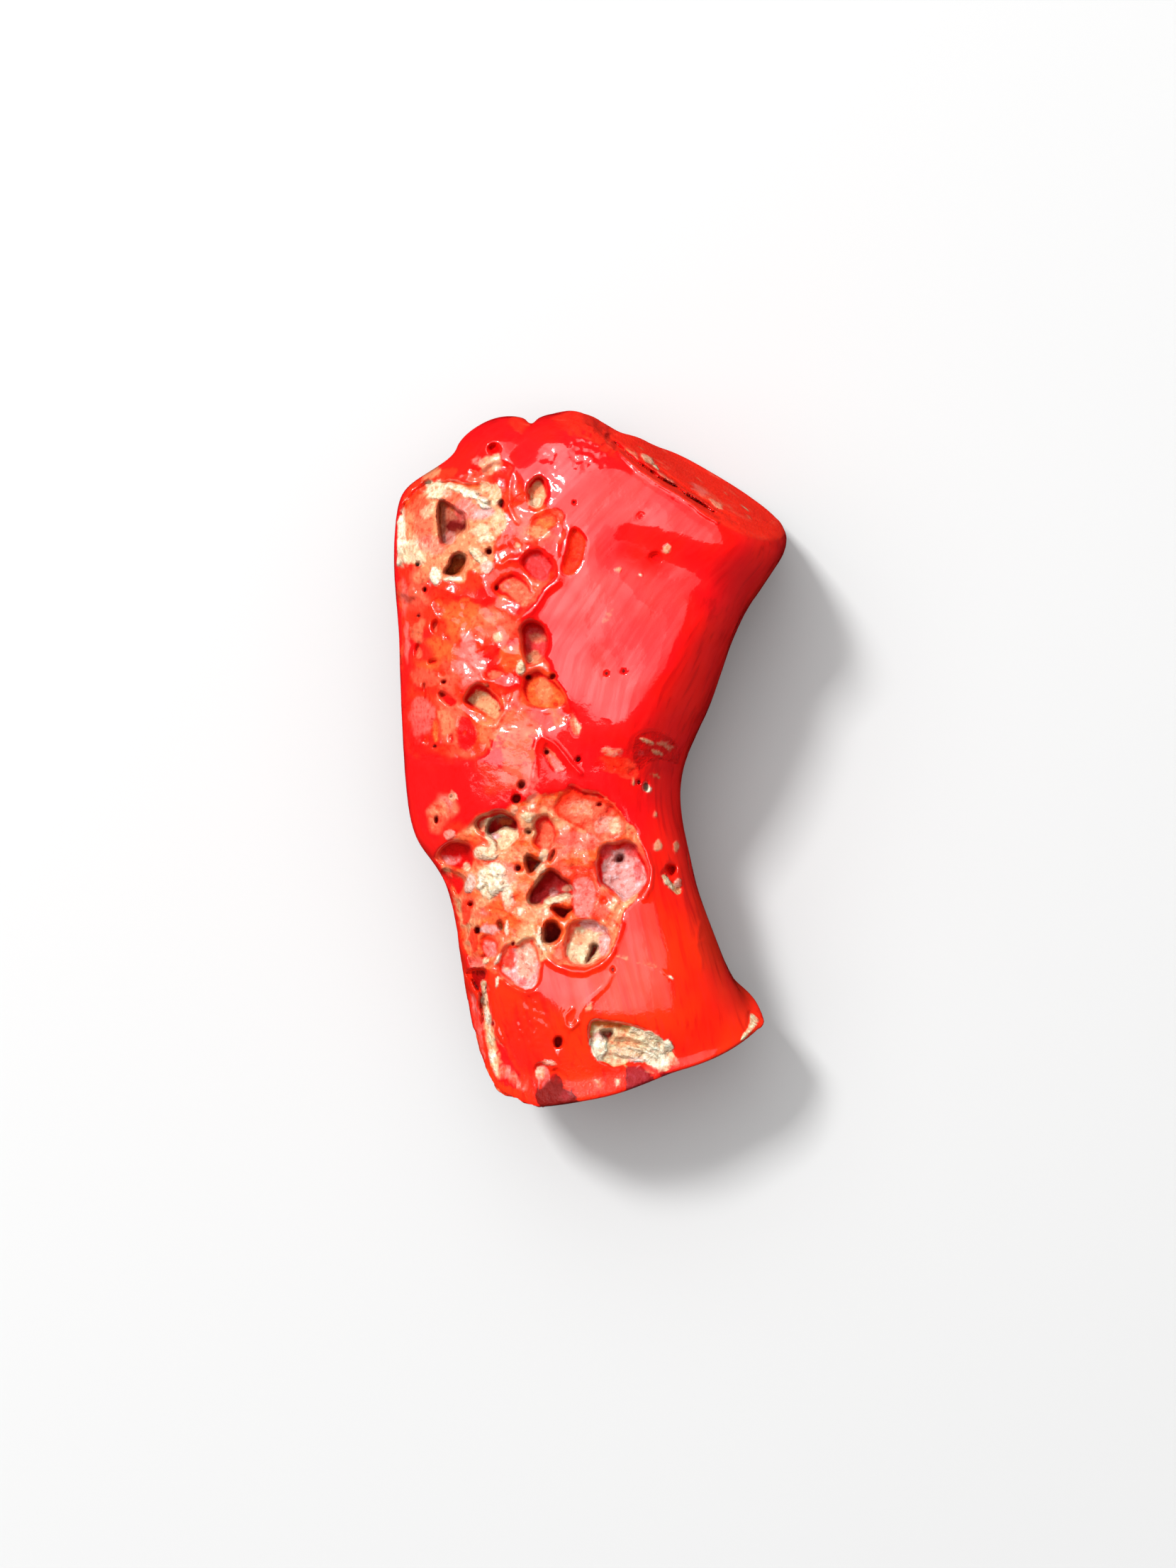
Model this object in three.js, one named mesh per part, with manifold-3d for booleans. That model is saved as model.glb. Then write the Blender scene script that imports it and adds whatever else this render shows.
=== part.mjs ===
import * as THREE from "three";
import { mergeVertices } from "three/addons/utils/BufferGeometryUtils.js";
import Module from "manifold-3d";

// A stub of precious red coral, sawn off at both ends, tumbled and polished, lying on its side.
// It grew as one piece: a stem that widens upwards and turns to one side, where it was sawn again.
// Millimetres, +Z up. The origin is on the resting surface, under the middle of the piece.

// Sections of the branch, from the lower sawn end round the bend to the upper sawn end.
// outer is the point where the branch is widest on the outside of its bend, and inner on the inside
// of it. top is the height of the crown, and crown is where the crown lies, from -1 at the outer side
// to 1 at the inner side. square is the power of the quarter between crown and inner side: 2 makes an
// ellipse, and more makes it squarer.
const SECTIONS = [
  { outer: [-5.2, -16.05, 4.8], inner: [9.1, -13.15, 6.2], top: 9.9, crown: -0.25, square: 1.8 },
  { outer: [-5.7, -14.0, 4.7], inner: [8.0, -12.1, 5.9], top: 10.2, crown: -0.15, square: 2.0 },
  { outer: [-6.2, -11.8, 4.6], inner: [7.1, -10.6, 5.6], top: 10.5, crown: -0.05, square: 2.3 },
  { outer: [-6.6, -9.8, 4.6], inner: [6.5, -9.2, 5.3], top: 10.6, crown: 0.02, square: 2.5 },
  { outer: [-7.2, -6.6, 4.7], inner: [5.4, -6.2, 5.0], top: 10.6, crown: 0.05, square: 2.7 },
  { outer: [-7.9, -5.2, 4.8], inner: [5.0, -4.8, 5.0], top: 10.7, crown: 0.05, square: 2.7 },
  { outer: [-8.7, -4.0, 5.0], inner: [4.7, -3.6, 5.0], top: 10.8, crown: 0.02, square: 2.7 },
  { outer: [-9.1, -2.7, 5.2], inner: [4.5, -2.6, 5.0], top: 11.0, crown: 0, square: 2.6 },
  { outer: [-9.3, -1.0, 5.4], inner: [4.4, -1.4, 5.0], top: 11.3, crown: 0, square: 2.6 },
  { outer: [-9.4, 0.8, 5.5], inner: [4.6, -0.1, 4.9], top: 11.6, crown: 0, square: 2.6 },
  { outer: [-9.5, 3.0, 5.6], inner: [5.1, 1.0, 4.8], top: 12.0, crown: 0, square: 2.7 },
  { outer: [-9.6, 5.6, 5.7], inner: [5.8, 2.5, 4.8], top: 12.4, crown: 0, square: 2.7 },
  { outer: [-9.75, 8.4, 5.8], inner: [6.5, 4.1, 4.8], top: 12.7, crown: 0, square: 2.7 },
  { outer: [-9.8, 11.2, 5.9], inner: [7.1, 5.8, 4.8], top: 12.9, crown: 0, square: 2.7 },
  { outer: [-9.5, 13.5, 5.9], inner: [7.6, 6.9, 4.8], top: 13.0, crown: 0, square: 2.7 },
  { outer: [-8.2, 14.9, 5.9], inner: [8.0, 7.8, 4.9], top: 13.0, crown: 0, square: 2.7 },
  { outer: [-6.9, 16.2, 5.9], inner: [8.5, 8.6, 5.0], top: 12.9, crown: 0, square: 2.7 },
  { outer: [-5.3, 17.3, 5.8], inner: [8.9, 9.2, 5.2], top: 12.8, crown: 0, square: 2.7 },
  { outer: [-3.2, 17.75, 5.7], inner: [9.3, 9.8, 5.3], top: 12.7, crown: 0, square: 2.6 },
  { outer: [-1.1, 17.85, 5.6], inner: [9.7, 10.4, 5.4], top: 12.5, crown: 0, square: 2.5 },
  { outer: [0.5, 17.5, 5.5], inner: [10.0, 11.0, 5.5], top: 12.2, crown: 0, square: 2.4 },
  { outer: [1.5, 16.75, 5.5], inner: [10.2, 11.5, 5.5], top: 11.9, crown: 0, square: 2.3 },
];
// A sawn end leans back at its crown by this much for each millimetre up, and less in the sections
// next to it. A negative lean points towards the lower end.
const LOWER_LEAN = -0.52;
const UPPER_LEAN = -0.27;
const LEANING_SECTIONS = 5;
// The underside would bulge down to this height, and is ground flat where it meets the surface.
const KEEL = -0.2;
// The powers of a section's other three quarters
const OUTER_TOP_POWER = 2.1;
const OUTER_UNDER_POWER = 2.2;
const INNER_UNDER_POWER = 2.3;
// The rims of the sawn ends are rounded by the polishing.
const RIM_RADIUS = 0.5;
const RIM_STEPS = 3;
// The sections nearest to each end, in steps of the list above, are left to the rounded rim.
const LOWER_RIM_SECTIONS = 0.6;
const UPPER_RIM_SECTIONS = 1.5;
const POINTS_AROUND = 48;
const RINGS_ALONG = 54;

// The largest hollows that boring sponges left in the crown: where each is, how wide it is
// across and along the piece, how far its long side is turned, and how deep it goes.
const HOLLOWS = [
  { at: [-6.7, 11.4], across: 1.1, along: 1.6, turn: 0, depth: 1.6 },
  { at: [-6.6, 9.5], across: 0.9, along: 1.1, turn: -0.6, depth: 1.3 },
  { at: [-2.6, 13.0], across: 0.9, along: 1.4, turn: 0, depth: 0.8 },
  { at: [-2.6, 9.4], across: 1.5, along: 1.4, turn: 0, depth: 0.6 },
  { at: [-0.7, 9.9], across: 1.1, along: 2.1, turn: -0.2, depth: 0.5 },
  { at: [-2.7, 5.7], across: 1.4, along: 2.0, turn: 0, depth: 1.3 },
  { at: [-2.5, 3.4], across: 1.6, along: 1.7, turn: 0, depth: 0.6 },
  { at: [-5.1, 2.8], across: 1.6, along: 1.6, turn: 0, depth: 0.8 },
  { at: [-4.3, -3.3], across: 1.5, along: 1.2, turn: 0, depth: 1.3 },
  { at: [-6.6, -4.7], across: 1.5, along: 1.1, turn: 0, depth: 1.2 },
  { at: [-2.2, -3.6], across: 1.2, along: 1.6, turn: 0, depth: 0.8 },
  { at: [-1.9, -6.2], across: 2.0, along: 1.6, turn: 0.2, depth: 1.5 },
  { at: [-1.8, -8.4], across: 0.8, along: 0.9, turn: 0, depth: 1.6 },
  { at: [1.6, -5.5], across: 2.2, along: 2.7, turn: 0, depth: 0.8 },
  { at: [-0.2, -9.0], across: 2.2, along: 1.9, turn: 0, depth: 0.9 },
  { at: [-3.6, -9.7], across: 1.9, along: 2.8, turn: 0.3, depth: 0.6 },
  { at: [1.7, -13.6], across: 3.0, along: 1.7, turn: -0.2, depth: 0.6 },
];
const HOLLOW_AROUND = 14;
const HOLLOW_DOWN = 8;
// A block that is larger than the branch each way.
const BLOCK = 60;

const LAST = SECTIONS.length - 1;
const outerLine = lineOf((s) => new THREE.Vector3(...s.outer));
const innerLine = lineOf((s) => new THREE.Vector3(...s.inner));
const crownLine = lineOf((s) => new THREE.Vector3(s.crown, s.square, s.top));

// One smooth curve through what each section says.
function lineOf(point) {
  return new THREE.CatmullRomCurve3(SECTIONS.map(point), false, "catmullrom", 0.5);
}

// A coordinate of a superellipse, whose power is 2 for an ellipse.
function rounded(value, power) {
  return Math.sign(value) * Math.abs(value) ** (2 / power);
}

function powerAt(isInner, isTop, square) {
  if (isTop) return isInner ? square : OUTER_TOP_POWER;
  return isInner ? INNER_UNDER_POWER : OUTER_UNDER_POWER;
}

// The lean at a place along the branch, given as a number of sections from the lower end.
function leanAt(place) {
  const fromLower = Math.max(0, 1 - place / LEANING_SECTIONS);
  const fromUpper = Math.max(0, 1 - (LAST - place) / LEANING_SECTIONS);
  return LOWER_LEAN * fromLower + UPPER_LEAN * fromUpper;
}

// One section: its ring of points, its middle, the way it faces, and half its width.
function sectionAt(place) {
  const outer = outerLine.getPoint(place / LAST);
  const inner = innerLine.getPoint(place / LAST);
  const shape = crownLine.getPoint(place / LAST);
  const middle = outer.clone().add(inner).multiplyScalar(0.5);
  const across = inner.clone().sub(outer).setZ(0);
  const halfWidth = across.length() / 2;
  across.normalize();
  const along = new THREE.Vector3(-across.y, across.x, 0);
  const lean = leanAt(place);
  const ring = [];
  for (let i = 0; i < POINTS_AROUND; i++) {
    const angle = (2 * Math.PI * i) / POINTS_AROUND;
    const isInner = Math.cos(angle) >= 0;
    const isTop = Math.sin(angle) >= 0;
    const power = powerAt(isInner, isTop, shape.y);
    const crown = isTop ? shape.x * halfWidth : 0;
    const side = isInner ? inner.z : outer.z;
    const reach = isInner ? halfWidth - crown : halfWidth + crown;
    const rise = isTop ? shape.z - side : side - KEEL;
    const height = side + rise * rounded(Math.sin(angle), power);
    const sideways = crown + reach * rounded(Math.cos(angle), power);
    const point = middle.clone().setZ(height);
    point.addScaledVector(across, sideways).addScaledVector(along, lean * (height - middle.z));
    ring.push(point);
  }
  const facing = new THREE.Vector3(along.x, along.y, -lean).normalize();
  return { ring, middle, facing, halfWidth };
}

// The rings of a rounded rim, from the whole section to the edge of the flat sawn face. end is 1
// at the upper end and -1 at the lower end.
function rimRings(place, end) {
  const { ring, middle, facing, halfWidth } = sectionAt(place);
  const rings = [];
  for (let step = 0; step <= RIM_STEPS; step++) {
    const angle = (Math.PI / 2) * (step / RIM_STEPS);
    const scale = 1 - (RIM_RADIUS * (1 - Math.cos(angle))) / halfWidth;
    const back = facing.clone().multiplyScalar(-end * RIM_RADIUS * (1 - Math.sin(angle)));
    rings.push(ring.map((p) => p.clone().sub(middle).multiplyScalar(scale).add(middle).add(back)));
  }
  return rings;
}

function meanOf(points) {
  return points.reduce((sum, p) => sum.add(p), new THREE.Vector3()).divideScalar(points.length);
}

// The branch before its underside is ground: rings joined by faces, and a flat face at each end.
function branchSurface() {
  const rings = rimRings(0, -1).reverse();
  for (let i = 0; i < RINGS_ALONG; i++) {
    const place = (LAST * i) / (RINGS_ALONG - 1);
    if (place > LOWER_RIM_SECTIONS && place < LAST - UPPER_RIM_SECTIONS) {
      rings.push(sectionAt(place).ring);
    }
  }
  rings.push(...rimRings(LAST, 1));
  const points = rings.flat();
  const faces = [];
  const n = POINTS_AROUND;
  for (let r = 0; r < rings.length - 1; r++) {
    for (let i = 0; i < n; i++) {
      const a = r * n + i;
      const b = r * n + ((i + 1) % n);
      faces.push(a, b + n, b, a, a + n, b + n);
    }
  }
  const lowerMiddle = points.push(meanOf(rings[0])) - 1;
  const upperMiddle = points.push(meanOf(rings.at(-1))) - 1;
  const lastRing = (rings.length - 1) * n;
  for (let i = 0; i < n; i++) {
    const next = (i + 1) % n;
    faces.push(lowerMiddle, i, next);
    faces.push(upperMiddle, lastRing + next, lastRing + i);
  }
  return new THREE.BufferGeometry().setFromPoints(points).setIndex(faces);
}

const wasm = await Module();
wasm.setup();

function solidOf(geometry) {
  const bare = geometry.clone();
  bare.deleteAttribute("normal");
  bare.deleteAttribute("uv");
  const merged = mergeVertices(bare);
  return new wasm.Manifold(
    new wasm.Mesh({
      numProp: 3,
      vertProperties: new Float32Array(merged.attributes.position.array),
      triVerts: new Uint32Array(merged.index.array),
    }),
  );
}

function geometryOf(solid) {
  const mesh = solid.getMesh();
  return new THREE.BufferGeometry()
    .setAttribute("position", new THREE.BufferAttribute(mesh.vertProperties, 3))
    .setIndex(new THREE.BufferAttribute(mesh.triVerts, 1));
}

// Moves a solid along the resting surface until the origin is under the middle of its box.
function centred(solid) {
  const { min, max } = solid.boundingBox();
  return solid.translate([-(min[0] + max[0]) / 2, -(min[1] + max[1]) / 2, 0]);
}

// A hollow is the lower half of an egg shape, whose middle is where a line straight down over
// its place meets the crown.
function hollowSolid({ at, across, along, turn, depth }, surface) {
  const fromAbove = new THREE.Vector3(at[0], at[1], 2 * BLOCK);
  const down = new THREE.Vector3(0, 0, -1);
  const [hit] = new THREE.Raycaster(fromAbove, down).intersectObject(surface);
  const egg = new THREE.SphereGeometry(1, HOLLOW_AROUND, HOLLOW_DOWN)
    .rotateX(Math.PI / 2)
    .scale(across / 2, along / 2, depth)
    .rotateZ(turn)
    .translate(hit.point.x, hit.point.y, hit.point.z);
  return solidOf(egg);
}

const aboveSurface = solidOf(new THREE.BoxGeometry(BLOCK, BLOCK, BLOCK).translate(0, 0, BLOCK / 2));

const whole = branchSurface();
const surface = new THREE.Mesh(whole);
const branch = HOLLOWS.reduce(
  (solid, hollow) => solid.subtract(hollowSolid(hollow, surface)),
  solidOf(whole).intersect(aboveSurface),
);

const polishedCoral = new THREE.MeshStandardMaterial({
  color: new THREE.Color(0.78, 0.03, 0.03),
  roughness: 0.25,
  metalness: 0,
});

const coral = new THREE.Mesh(geometryOf(centred(branch)), polishedCoral);
coral.name = "coral_branch";

const part = new THREE.Group();
part.add(coral);

export default part;
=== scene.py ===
import math

import bpy
import numpy as np
import openvdb
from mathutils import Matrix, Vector
from mathutils.bvhtree import BVHTree


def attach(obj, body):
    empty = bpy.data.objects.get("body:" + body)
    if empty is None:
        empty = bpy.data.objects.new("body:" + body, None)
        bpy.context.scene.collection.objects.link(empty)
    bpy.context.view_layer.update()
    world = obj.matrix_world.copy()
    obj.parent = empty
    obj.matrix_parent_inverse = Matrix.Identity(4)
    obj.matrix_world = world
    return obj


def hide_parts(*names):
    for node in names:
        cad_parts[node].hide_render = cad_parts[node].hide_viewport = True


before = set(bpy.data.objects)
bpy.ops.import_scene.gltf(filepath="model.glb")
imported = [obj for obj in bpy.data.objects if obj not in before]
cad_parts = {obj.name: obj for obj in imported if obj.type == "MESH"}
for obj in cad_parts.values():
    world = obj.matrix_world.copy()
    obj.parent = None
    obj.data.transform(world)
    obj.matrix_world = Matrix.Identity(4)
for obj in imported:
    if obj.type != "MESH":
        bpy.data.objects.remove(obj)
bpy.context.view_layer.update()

# Where the photograph was taken from
#
# The stub lies on its side and is looked at from straight above. A place in the photograph, in its
# own pixels, is a line down from the camera, and its sizes are read at the stub's widest plane.

PHOTO_WIDTH = 1659
PHOTO_HEIGHT = 2212
MM_PER_PIXEL = 0.0358
WIDEST_PLANE = 6.0
CAMERA_HEIGHT = 150.0
ORIGIN_IN_PHOTO = np.array([837.0, 1068.6])
MM = 0.001

photo_middle = np.array([PHOTO_WIDTH / 2, PHOTO_HEIGHT / 2])
camera_place = np.array(
    [
        (photo_middle[0] - ORIGIN_IN_PHOTO[0]) * MM_PER_PIXEL,
        (ORIGIN_IN_PHOTO[1] - photo_middle[1]) * MM_PER_PIXEL,
        CAMERA_HEIGHT,
    ]
)
pixel_slope = MM_PER_PIXEL / (CAMERA_HEIGHT - WIDEST_PLANE)


def place_in_photo(x, y, z):
    """Where a place in millimetres is seen in the photograph."""
    spread = 1 / ((CAMERA_HEIGHT - z) * pixel_slope)
    u = photo_middle[0] + (x - camera_place[0]) * spread
    v = photo_middle[1] - (y - camera_place[1]) * spread
    return u, v


camera_data = bpy.data.cameras.new("camera")
camera_data.sensor_fit = "VERTICAL"
camera_data.sensor_height = 24.0
camera_data.lens = camera_data.sensor_height / (PHOTO_HEIGHT * pixel_slope)
camera_data.clip_start = 0.001
camera = bpy.data.objects.new("camera", camera_data)
camera.location = Vector(camera_place) * MM
bpy.context.scene.collection.objects.link(camera)
bpy.context.scene.camera = camera

# The coral stub
#
# Precious coral is solid calcite, red through and through. This is a stub of a branch, sawn off at
# both ends, bored by sponges while it grew, weathered along one side and then tumbled to a gloss.

# The body is kept as a field of distances to its skin, below zero inside, in millimetres.
FIELD_STEP = 0.08
BODY_STEP = 2 * FIELD_STEP
FILLING_RADIUS = 1.8
POLISHED_ROUNDING = 0.24
FIELD_MARGIN = 0.8


def surface_of(field, step, low, level=0.0):
    """The points and four-sided faces where a field passes a level."""
    grid = openvdb.FloatGrid(background=float(3 * step))
    grid.copyFromArray(np.clip(field - level, -3 * step, 3 * step).astype(np.float32))
    points, _, quads = grid.convertToPolygons(isovalue=0.0, adaptivity=0.0)
    return points * step + low, quads


def distances_to(points, triangles, quads, step, reach, low, shape):
    """A field of distances to a closed surface, below zero inside it."""
    grid = openvdb.FloatGrid.createLevelSetFromPolygons(
        ((points - low) / step).astype(np.float32),
        triangles=triangles,
        quads=quads,
        halfWidth=reach / step,
    )
    field = np.zeros(shape, np.float32)
    grid.copyToArray(field)
    return field * step


def blurred(field, spread):
    """A field smoothed by a bell curve whose width is given in grid steps."""
    reach = int(3 * spread)
    offsets = np.arange(-reach, reach + 1)
    weights = np.exp(-0.5 * (offsets / spread) ** 2)
    weights = (weights / weights.sum()).astype(np.float32)
    for axis in range(field.ndim):
        padding = [(0, 0)] * field.ndim
        padding[axis] = (reach, reach)
        padded = np.pad(field, padding, mode="edge")
        smooth = np.zeros_like(field)
        for offset, weight in zip(offsets, weights):
            span = [slice(None)] * field.ndim
            span[axis] = slice(reach + offset, reach + offset + field.shape[axis])
            smooth += weight * padded[tuple(span)]
        field = smooth
    return field


def doubled(field):
    """The same field on a grid of half the step."""
    for axis in range(3):
        size = list(field.shape)
        size[axis] = 2 * size[axis] - 1
        finer = np.empty(size, np.float32)
        spans = [[slice(None)] * 3 for _ in range(4)]
        spans[0][axis] = slice(0, None, 2)
        spans[1][axis] = slice(1, None, 2)
        spans[2][axis] = slice(0, -1)
        spans[3][axis] = slice(1, None)
        even, odd, before, after = (tuple(span) for span in spans)
        finer[even] = field
        finer[odd] = 0.5 * (field[before] + field[after])
        field = finer
    return field


LATTICE = 32
LATTICE_SEED = 7
lattice_values = np.random.default_rng(LATTICE_SEED).uniform(-1, 1, LATTICE**3).astype(np.float32)


def grain(x, y, z, size, kind=0):
    """Smooth random values from -1 to 1 in lumps of a size in millimetres."""
    cells = []
    for axis, coordinate in enumerate((x, y, z)):
        place = np.asarray(coordinate, np.float32) / size + 7.31 * kind + 3.17 * axis
        cell = np.floor(place)
        part = place - cell
        cells.append((cell.astype(np.int32), part * part * (3 - 2 * part)))
    total = 0.0
    for corner in range(8):
        index = 0
        weight = 1.0
        for axis, (cell, part) in enumerate(cells):
            step = (corner >> axis) & 1
            index = index * LATTICE + (cell + step) % LATTICE
            weight = weight * (part if step else 1 - part)
        total = total + weight * lattice_values[index]
    return total


def rough(x, y, z, size, octaves, kind=0):
    """Grain of several sizes together, each half as large and half as strong as the one before."""
    total = 0.0
    for octave in range(octaves):
        total = total + grain(x, y, z, size / 2**octave, kind + octave) / 2**octave
    return total


def larger(a, b, rounding):
    """The larger of two fields, with the edge where they meet rounded."""
    share = np.clip(0.5 + 0.5 * (a - b) / rounding, 0, 1)
    return b + (a - b) * share + rounding * share * (1 - share)


def step_up(value, low, high):
    """0 below low, 1 above high, and smooth between them."""
    part = np.clip((value - low) / (high - low), 0, 1)
    return part * part * (3 - 2 * part)


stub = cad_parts["coral_branch"]
stub_points = np.array([p.co[:] for p in stub.data.vertices]) / MM
stub.data.calc_loop_triangles()
stub_triangles = np.array([t.vertices[:] for t in stub.data.loop_triangles], np.uint32)
field_low = stub_points.min(axis=0) - FILLING_RADIUS - 2 * FIELD_MARGIN
field_high = stub_points.max(axis=0) + FILLING_RADIUS + 2 * FIELD_MARGIN
body_shape = np.ceil((field_high - field_low) / BODY_STEP).astype(int) + 1

# The solid's own hollows are filled first, by growing the body and shrinking it again, because
# the hollows below are cut afresh. The polish has rounded every edge on the way.
swollen_reach = FILLING_RADIUS + 3 * BODY_STEP
swollen = distances_to(
    stub_points, stub_triangles, None, BODY_STEP, swollen_reach, field_low, body_shape
)
swollen_points, swollen_quads = surface_of(swollen, BODY_STEP, field_low, FILLING_RADIUS)
SKIN_REACH = 2.6
body_reach = FILLING_RADIUS + SKIN_REACH
body = FILLING_RADIUS + distances_to(
    swollen_points, None, swollen_quads, BODY_STEP, body_reach, field_low, body_shape
)
body = blurred(body, POLISHED_ROUNDING / BODY_STEP)

# Lumps and low swellings left by tumbling a branch that was never quite round: how wide they are
# and how high, in millimetres. There are none on the flat that it rests on.
BODY_LUMPS = ((6.0, 0.18), (2.6, 0.08), (1.2, 0.015))
body_axes = [field_low[i] + BODY_STEP * np.arange(body.shape[i]) for i in range(3)]
body_x, body_y, body_z = np.meshgrid(*body_axes, indexing="ij", sparse=True)
lumps = np.zeros_like(body)
for kind, (size, height) in enumerate(BODY_LUMPS):
    lumps += height * grain(body_x, body_y, body_z, size, kind)
NO_LUMPS_UP_TO = 0.2
FULL_LUMPS_FROM = 1.6
body += lumps * step_up(body_z, NO_LUMPS_UP_TO, FULL_LUMPS_FROM)
SKIN_SOFTNESS = 2.0
skin = blurred(doubled(body), SKIN_SOFTNESS)

# Colours of the coral and of what fills it, as shares of light given back. The black, the
# maroon and the wine are dark reds painted in as shade at the bottoms of deep holes and pin-holes.
COLOURS = {
    "shade_black": (0.10, 0.003, 0.002),
    "shade_maroon": (0.22, 0.001, 0.001),
    "garnet": (0.42, 0.001, 0.001),
    "umber": (0.30, 0.055, 0.010),
    "ember": (0.60, 0.014, 0.003),
    "brown": (0.31, 0.100, 0.055),
    "orange": (0.56, 0.052, 0.010),
    "salmon": (0.54, 0.055, 0.026),
    "peach": (0.43, 0.118, 0.052),
    "pink": (0.52, 0.085, 0.070),
    "rose": (0.38, 0.022, 0.022),
    "shade_wine": (0.17, 0.008, 0.010),
    "tan": (0.38, 0.175, 0.083),
    "ochre": (0.28, 0.120, 0.036),
    "cream": (0.38, 0.250, 0.145),
    "chalk": (0.45, 0.390, 0.290),
    "lilac": (0.37, 0.175, 0.160),
    "red": (0.62, 0.0015, 0.002),
}

# What the photograph shows is drawn on a map with one place to each of its pixels: how far the
# ground is worn down, what stains it, how dull it is and how much crust is on it.
MAP_LEFT = 535
MAP_TOP = 560
MAP_SHAPE = (600, 1030)
map_u = MAP_LEFT + np.arange(MAP_SHAPE[0])[:, None] + np.zeros(MAP_SHAPE)
map_v = MAP_TOP + np.arange(MAP_SHAPE[1])[None, :] + np.zeros(MAP_SHAPE)
map_x = map_u * MM_PER_PIXEL
map_y = map_v * MM_PER_PIXEL
worn_down = np.zeros(MAP_SHAPE)
stain = np.zeros(MAP_SHAPE + (4,))
dull = np.zeros(MAP_SHAPE)
crust = np.zeros(MAP_SHAPE)


def part_around(points, margin):
    """The part of the map around some points, with a margin in millimetres."""
    corner = np.array([MAP_LEFT, MAP_TOP])
    low = np.floor(points.min(axis=0) - margin / MM_PER_PIXEL - corner).astype(int)
    high = np.ceil(points.max(axis=0) + margin / MM_PER_PIXEL - corner).astype(int)
    low = np.clip(low, 0, MAP_SHAPE)
    high = np.clip(high, 0, MAP_SHAPE)
    return slice(low[0], high[0]), slice(low[1], high[1])


def ragged_places(part, size, amount, seed):
    """The pixels of a part of the map, shifted about so that an outline on them comes out ragged."""
    shift = amount / MM_PER_PIXEL
    x, y = map_x[part], map_y[part]
    u = map_u[part] + shift * rough(x, y, 0.0, size, 3, seed)
    v = map_v[part] + shift * rough(x, y, 5.0, size, 3, seed)
    return u, v


def softened(outline):
    """A closed outline with its corners cut off twice."""
    for _ in range(2):
        ahead = np.roll(outline, -1, axis=0)
        cut = np.stack([0.75 * outline + 0.25 * ahead, 0.25 * outline + 0.75 * ahead], axis=1)
        outline = cut.reshape(-1, 2)
    return outline


def away_from(start, end, u, v):
    """How far places are from a straight stretch between two others, in pixels."""
    way = end - start
    du, dv = u - start[0], v - start[1]
    share = np.clip((du * way[0] + dv * way[1]) / way.dot(way), 0, 1)
    return np.hypot(du - share * way[0], dv - share * way[1])


def within(outline, margin, raggedness, seed):
    """How far the places of a part of the map lie inside an outline, in millimetres."""
    outline = softened(np.array(outline, float))
    part = part_around(outline, margin)
    u, v = ragged_places(part, 0.5, raggedness, seed)
    nearest = np.full(u.shape, np.inf)
    inside = np.zeros(u.shape, bool)
    for start, end in zip(outline, np.roll(outline, -1, axis=0)):
        nearest = np.minimum(nearest, away_from(start, end, u, v))
        if start[1] != end[1]:
            crossed = (start[1] > v) != (end[1] > v)
            slant = (end[0] - start[0]) / (end[1] - start[1])
            inside ^= crossed & (u - start[0] < (v - start[1]) * slant)
    distance = nearest * MM_PER_PIXEL
    return part, np.where(inside, distance, -distance)


def paint(part, colour, share):
    """Lays a colour over what is on the map already."""
    here = stain[part]
    share = np.clip(share, 0, 1)[..., None]
    kept = here[..., 3:] * (1 - share)
    total = kept + share
    mixed = here[..., :3] * kept + np.array(COLOURS[colour]) * share
    here[..., :3] = np.where(total > 0.001, mixed / np.maximum(total, 0.001), mixed)
    here[..., 3:] = total


def cups(x, y, size, seed):
    """Shallow cups side by side: 1 at the bottom of each and 0 on the ridges between them."""
    a, b = x / size, y / size
    cell_a, cell_b = np.floor(a).astype(int), np.floor(b).astype(int)
    nearest = np.full(a.shape, np.inf)
    for i in (-1, 0, 1):
        for j in (-1, 0, 1):
            index = ((cell_a + i) * 73 + (cell_b + j) * 179 + seed * 31) % LATTICE**3
            other = (index * 7 + 11) % LATTICE**3
            away_a = a - (cell_a + i + 0.5 + 0.45 * lattice_values[index])
            away_b = b - (cell_b + j + 0.5 + 0.45 * lattice_values[other])
            nearest = np.minimum(nearest, away_a**2 + away_b**2)
    return np.clip(1 - nearest / 0.6, 0, 1)


# Swells and dips
#
# The polishing wheel has flattened the crown, left a long edge above the right flank, a dip under
# the upper sawn end and a slope down to the lower one: places along each in the photograph, its
# half width and its height in millimetres, below zero for a dip.
SWELLS = [
    ([(1020, 790), (990, 855), (958, 920), (925, 980), (890, 1030)], 1.6, 0.55),
    ([(885, 775), (945, 802), (1005, 822)], 1.35, -0.62),
    ([(690, 622), (760, 606), (835, 616)], 0.9, 0.45),
    ([(750, 570), (746, 600), (732, 632)], 0.55, -0.40),
    ([(700, 600), (672, 640)], 0.8, 0.15),
]

# Down the photograph from the first row to the second, the ground sinks ever faster to a depth in
# millimetres, and then all of it is evened out over some pixels
LOWER_SLOPE_FROM = 1380
LOWER_SLOPE_TO = 1560
LOWER_SLOPE_DEPTH = 1.05
SWELL_SOFTNESS = 9.0


def distance_to_line(places, u, v):
    """How far places in the photograph are from a line through some others, in millimetres."""
    places = np.array(places, float)
    nearest = np.full(u.shape, np.inf)
    for start, end in zip(places[:-1], places[1:]):
        nearest = np.minimum(nearest, away_from(start, end, u, v))
    return nearest * MM_PER_PIXEL


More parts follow.
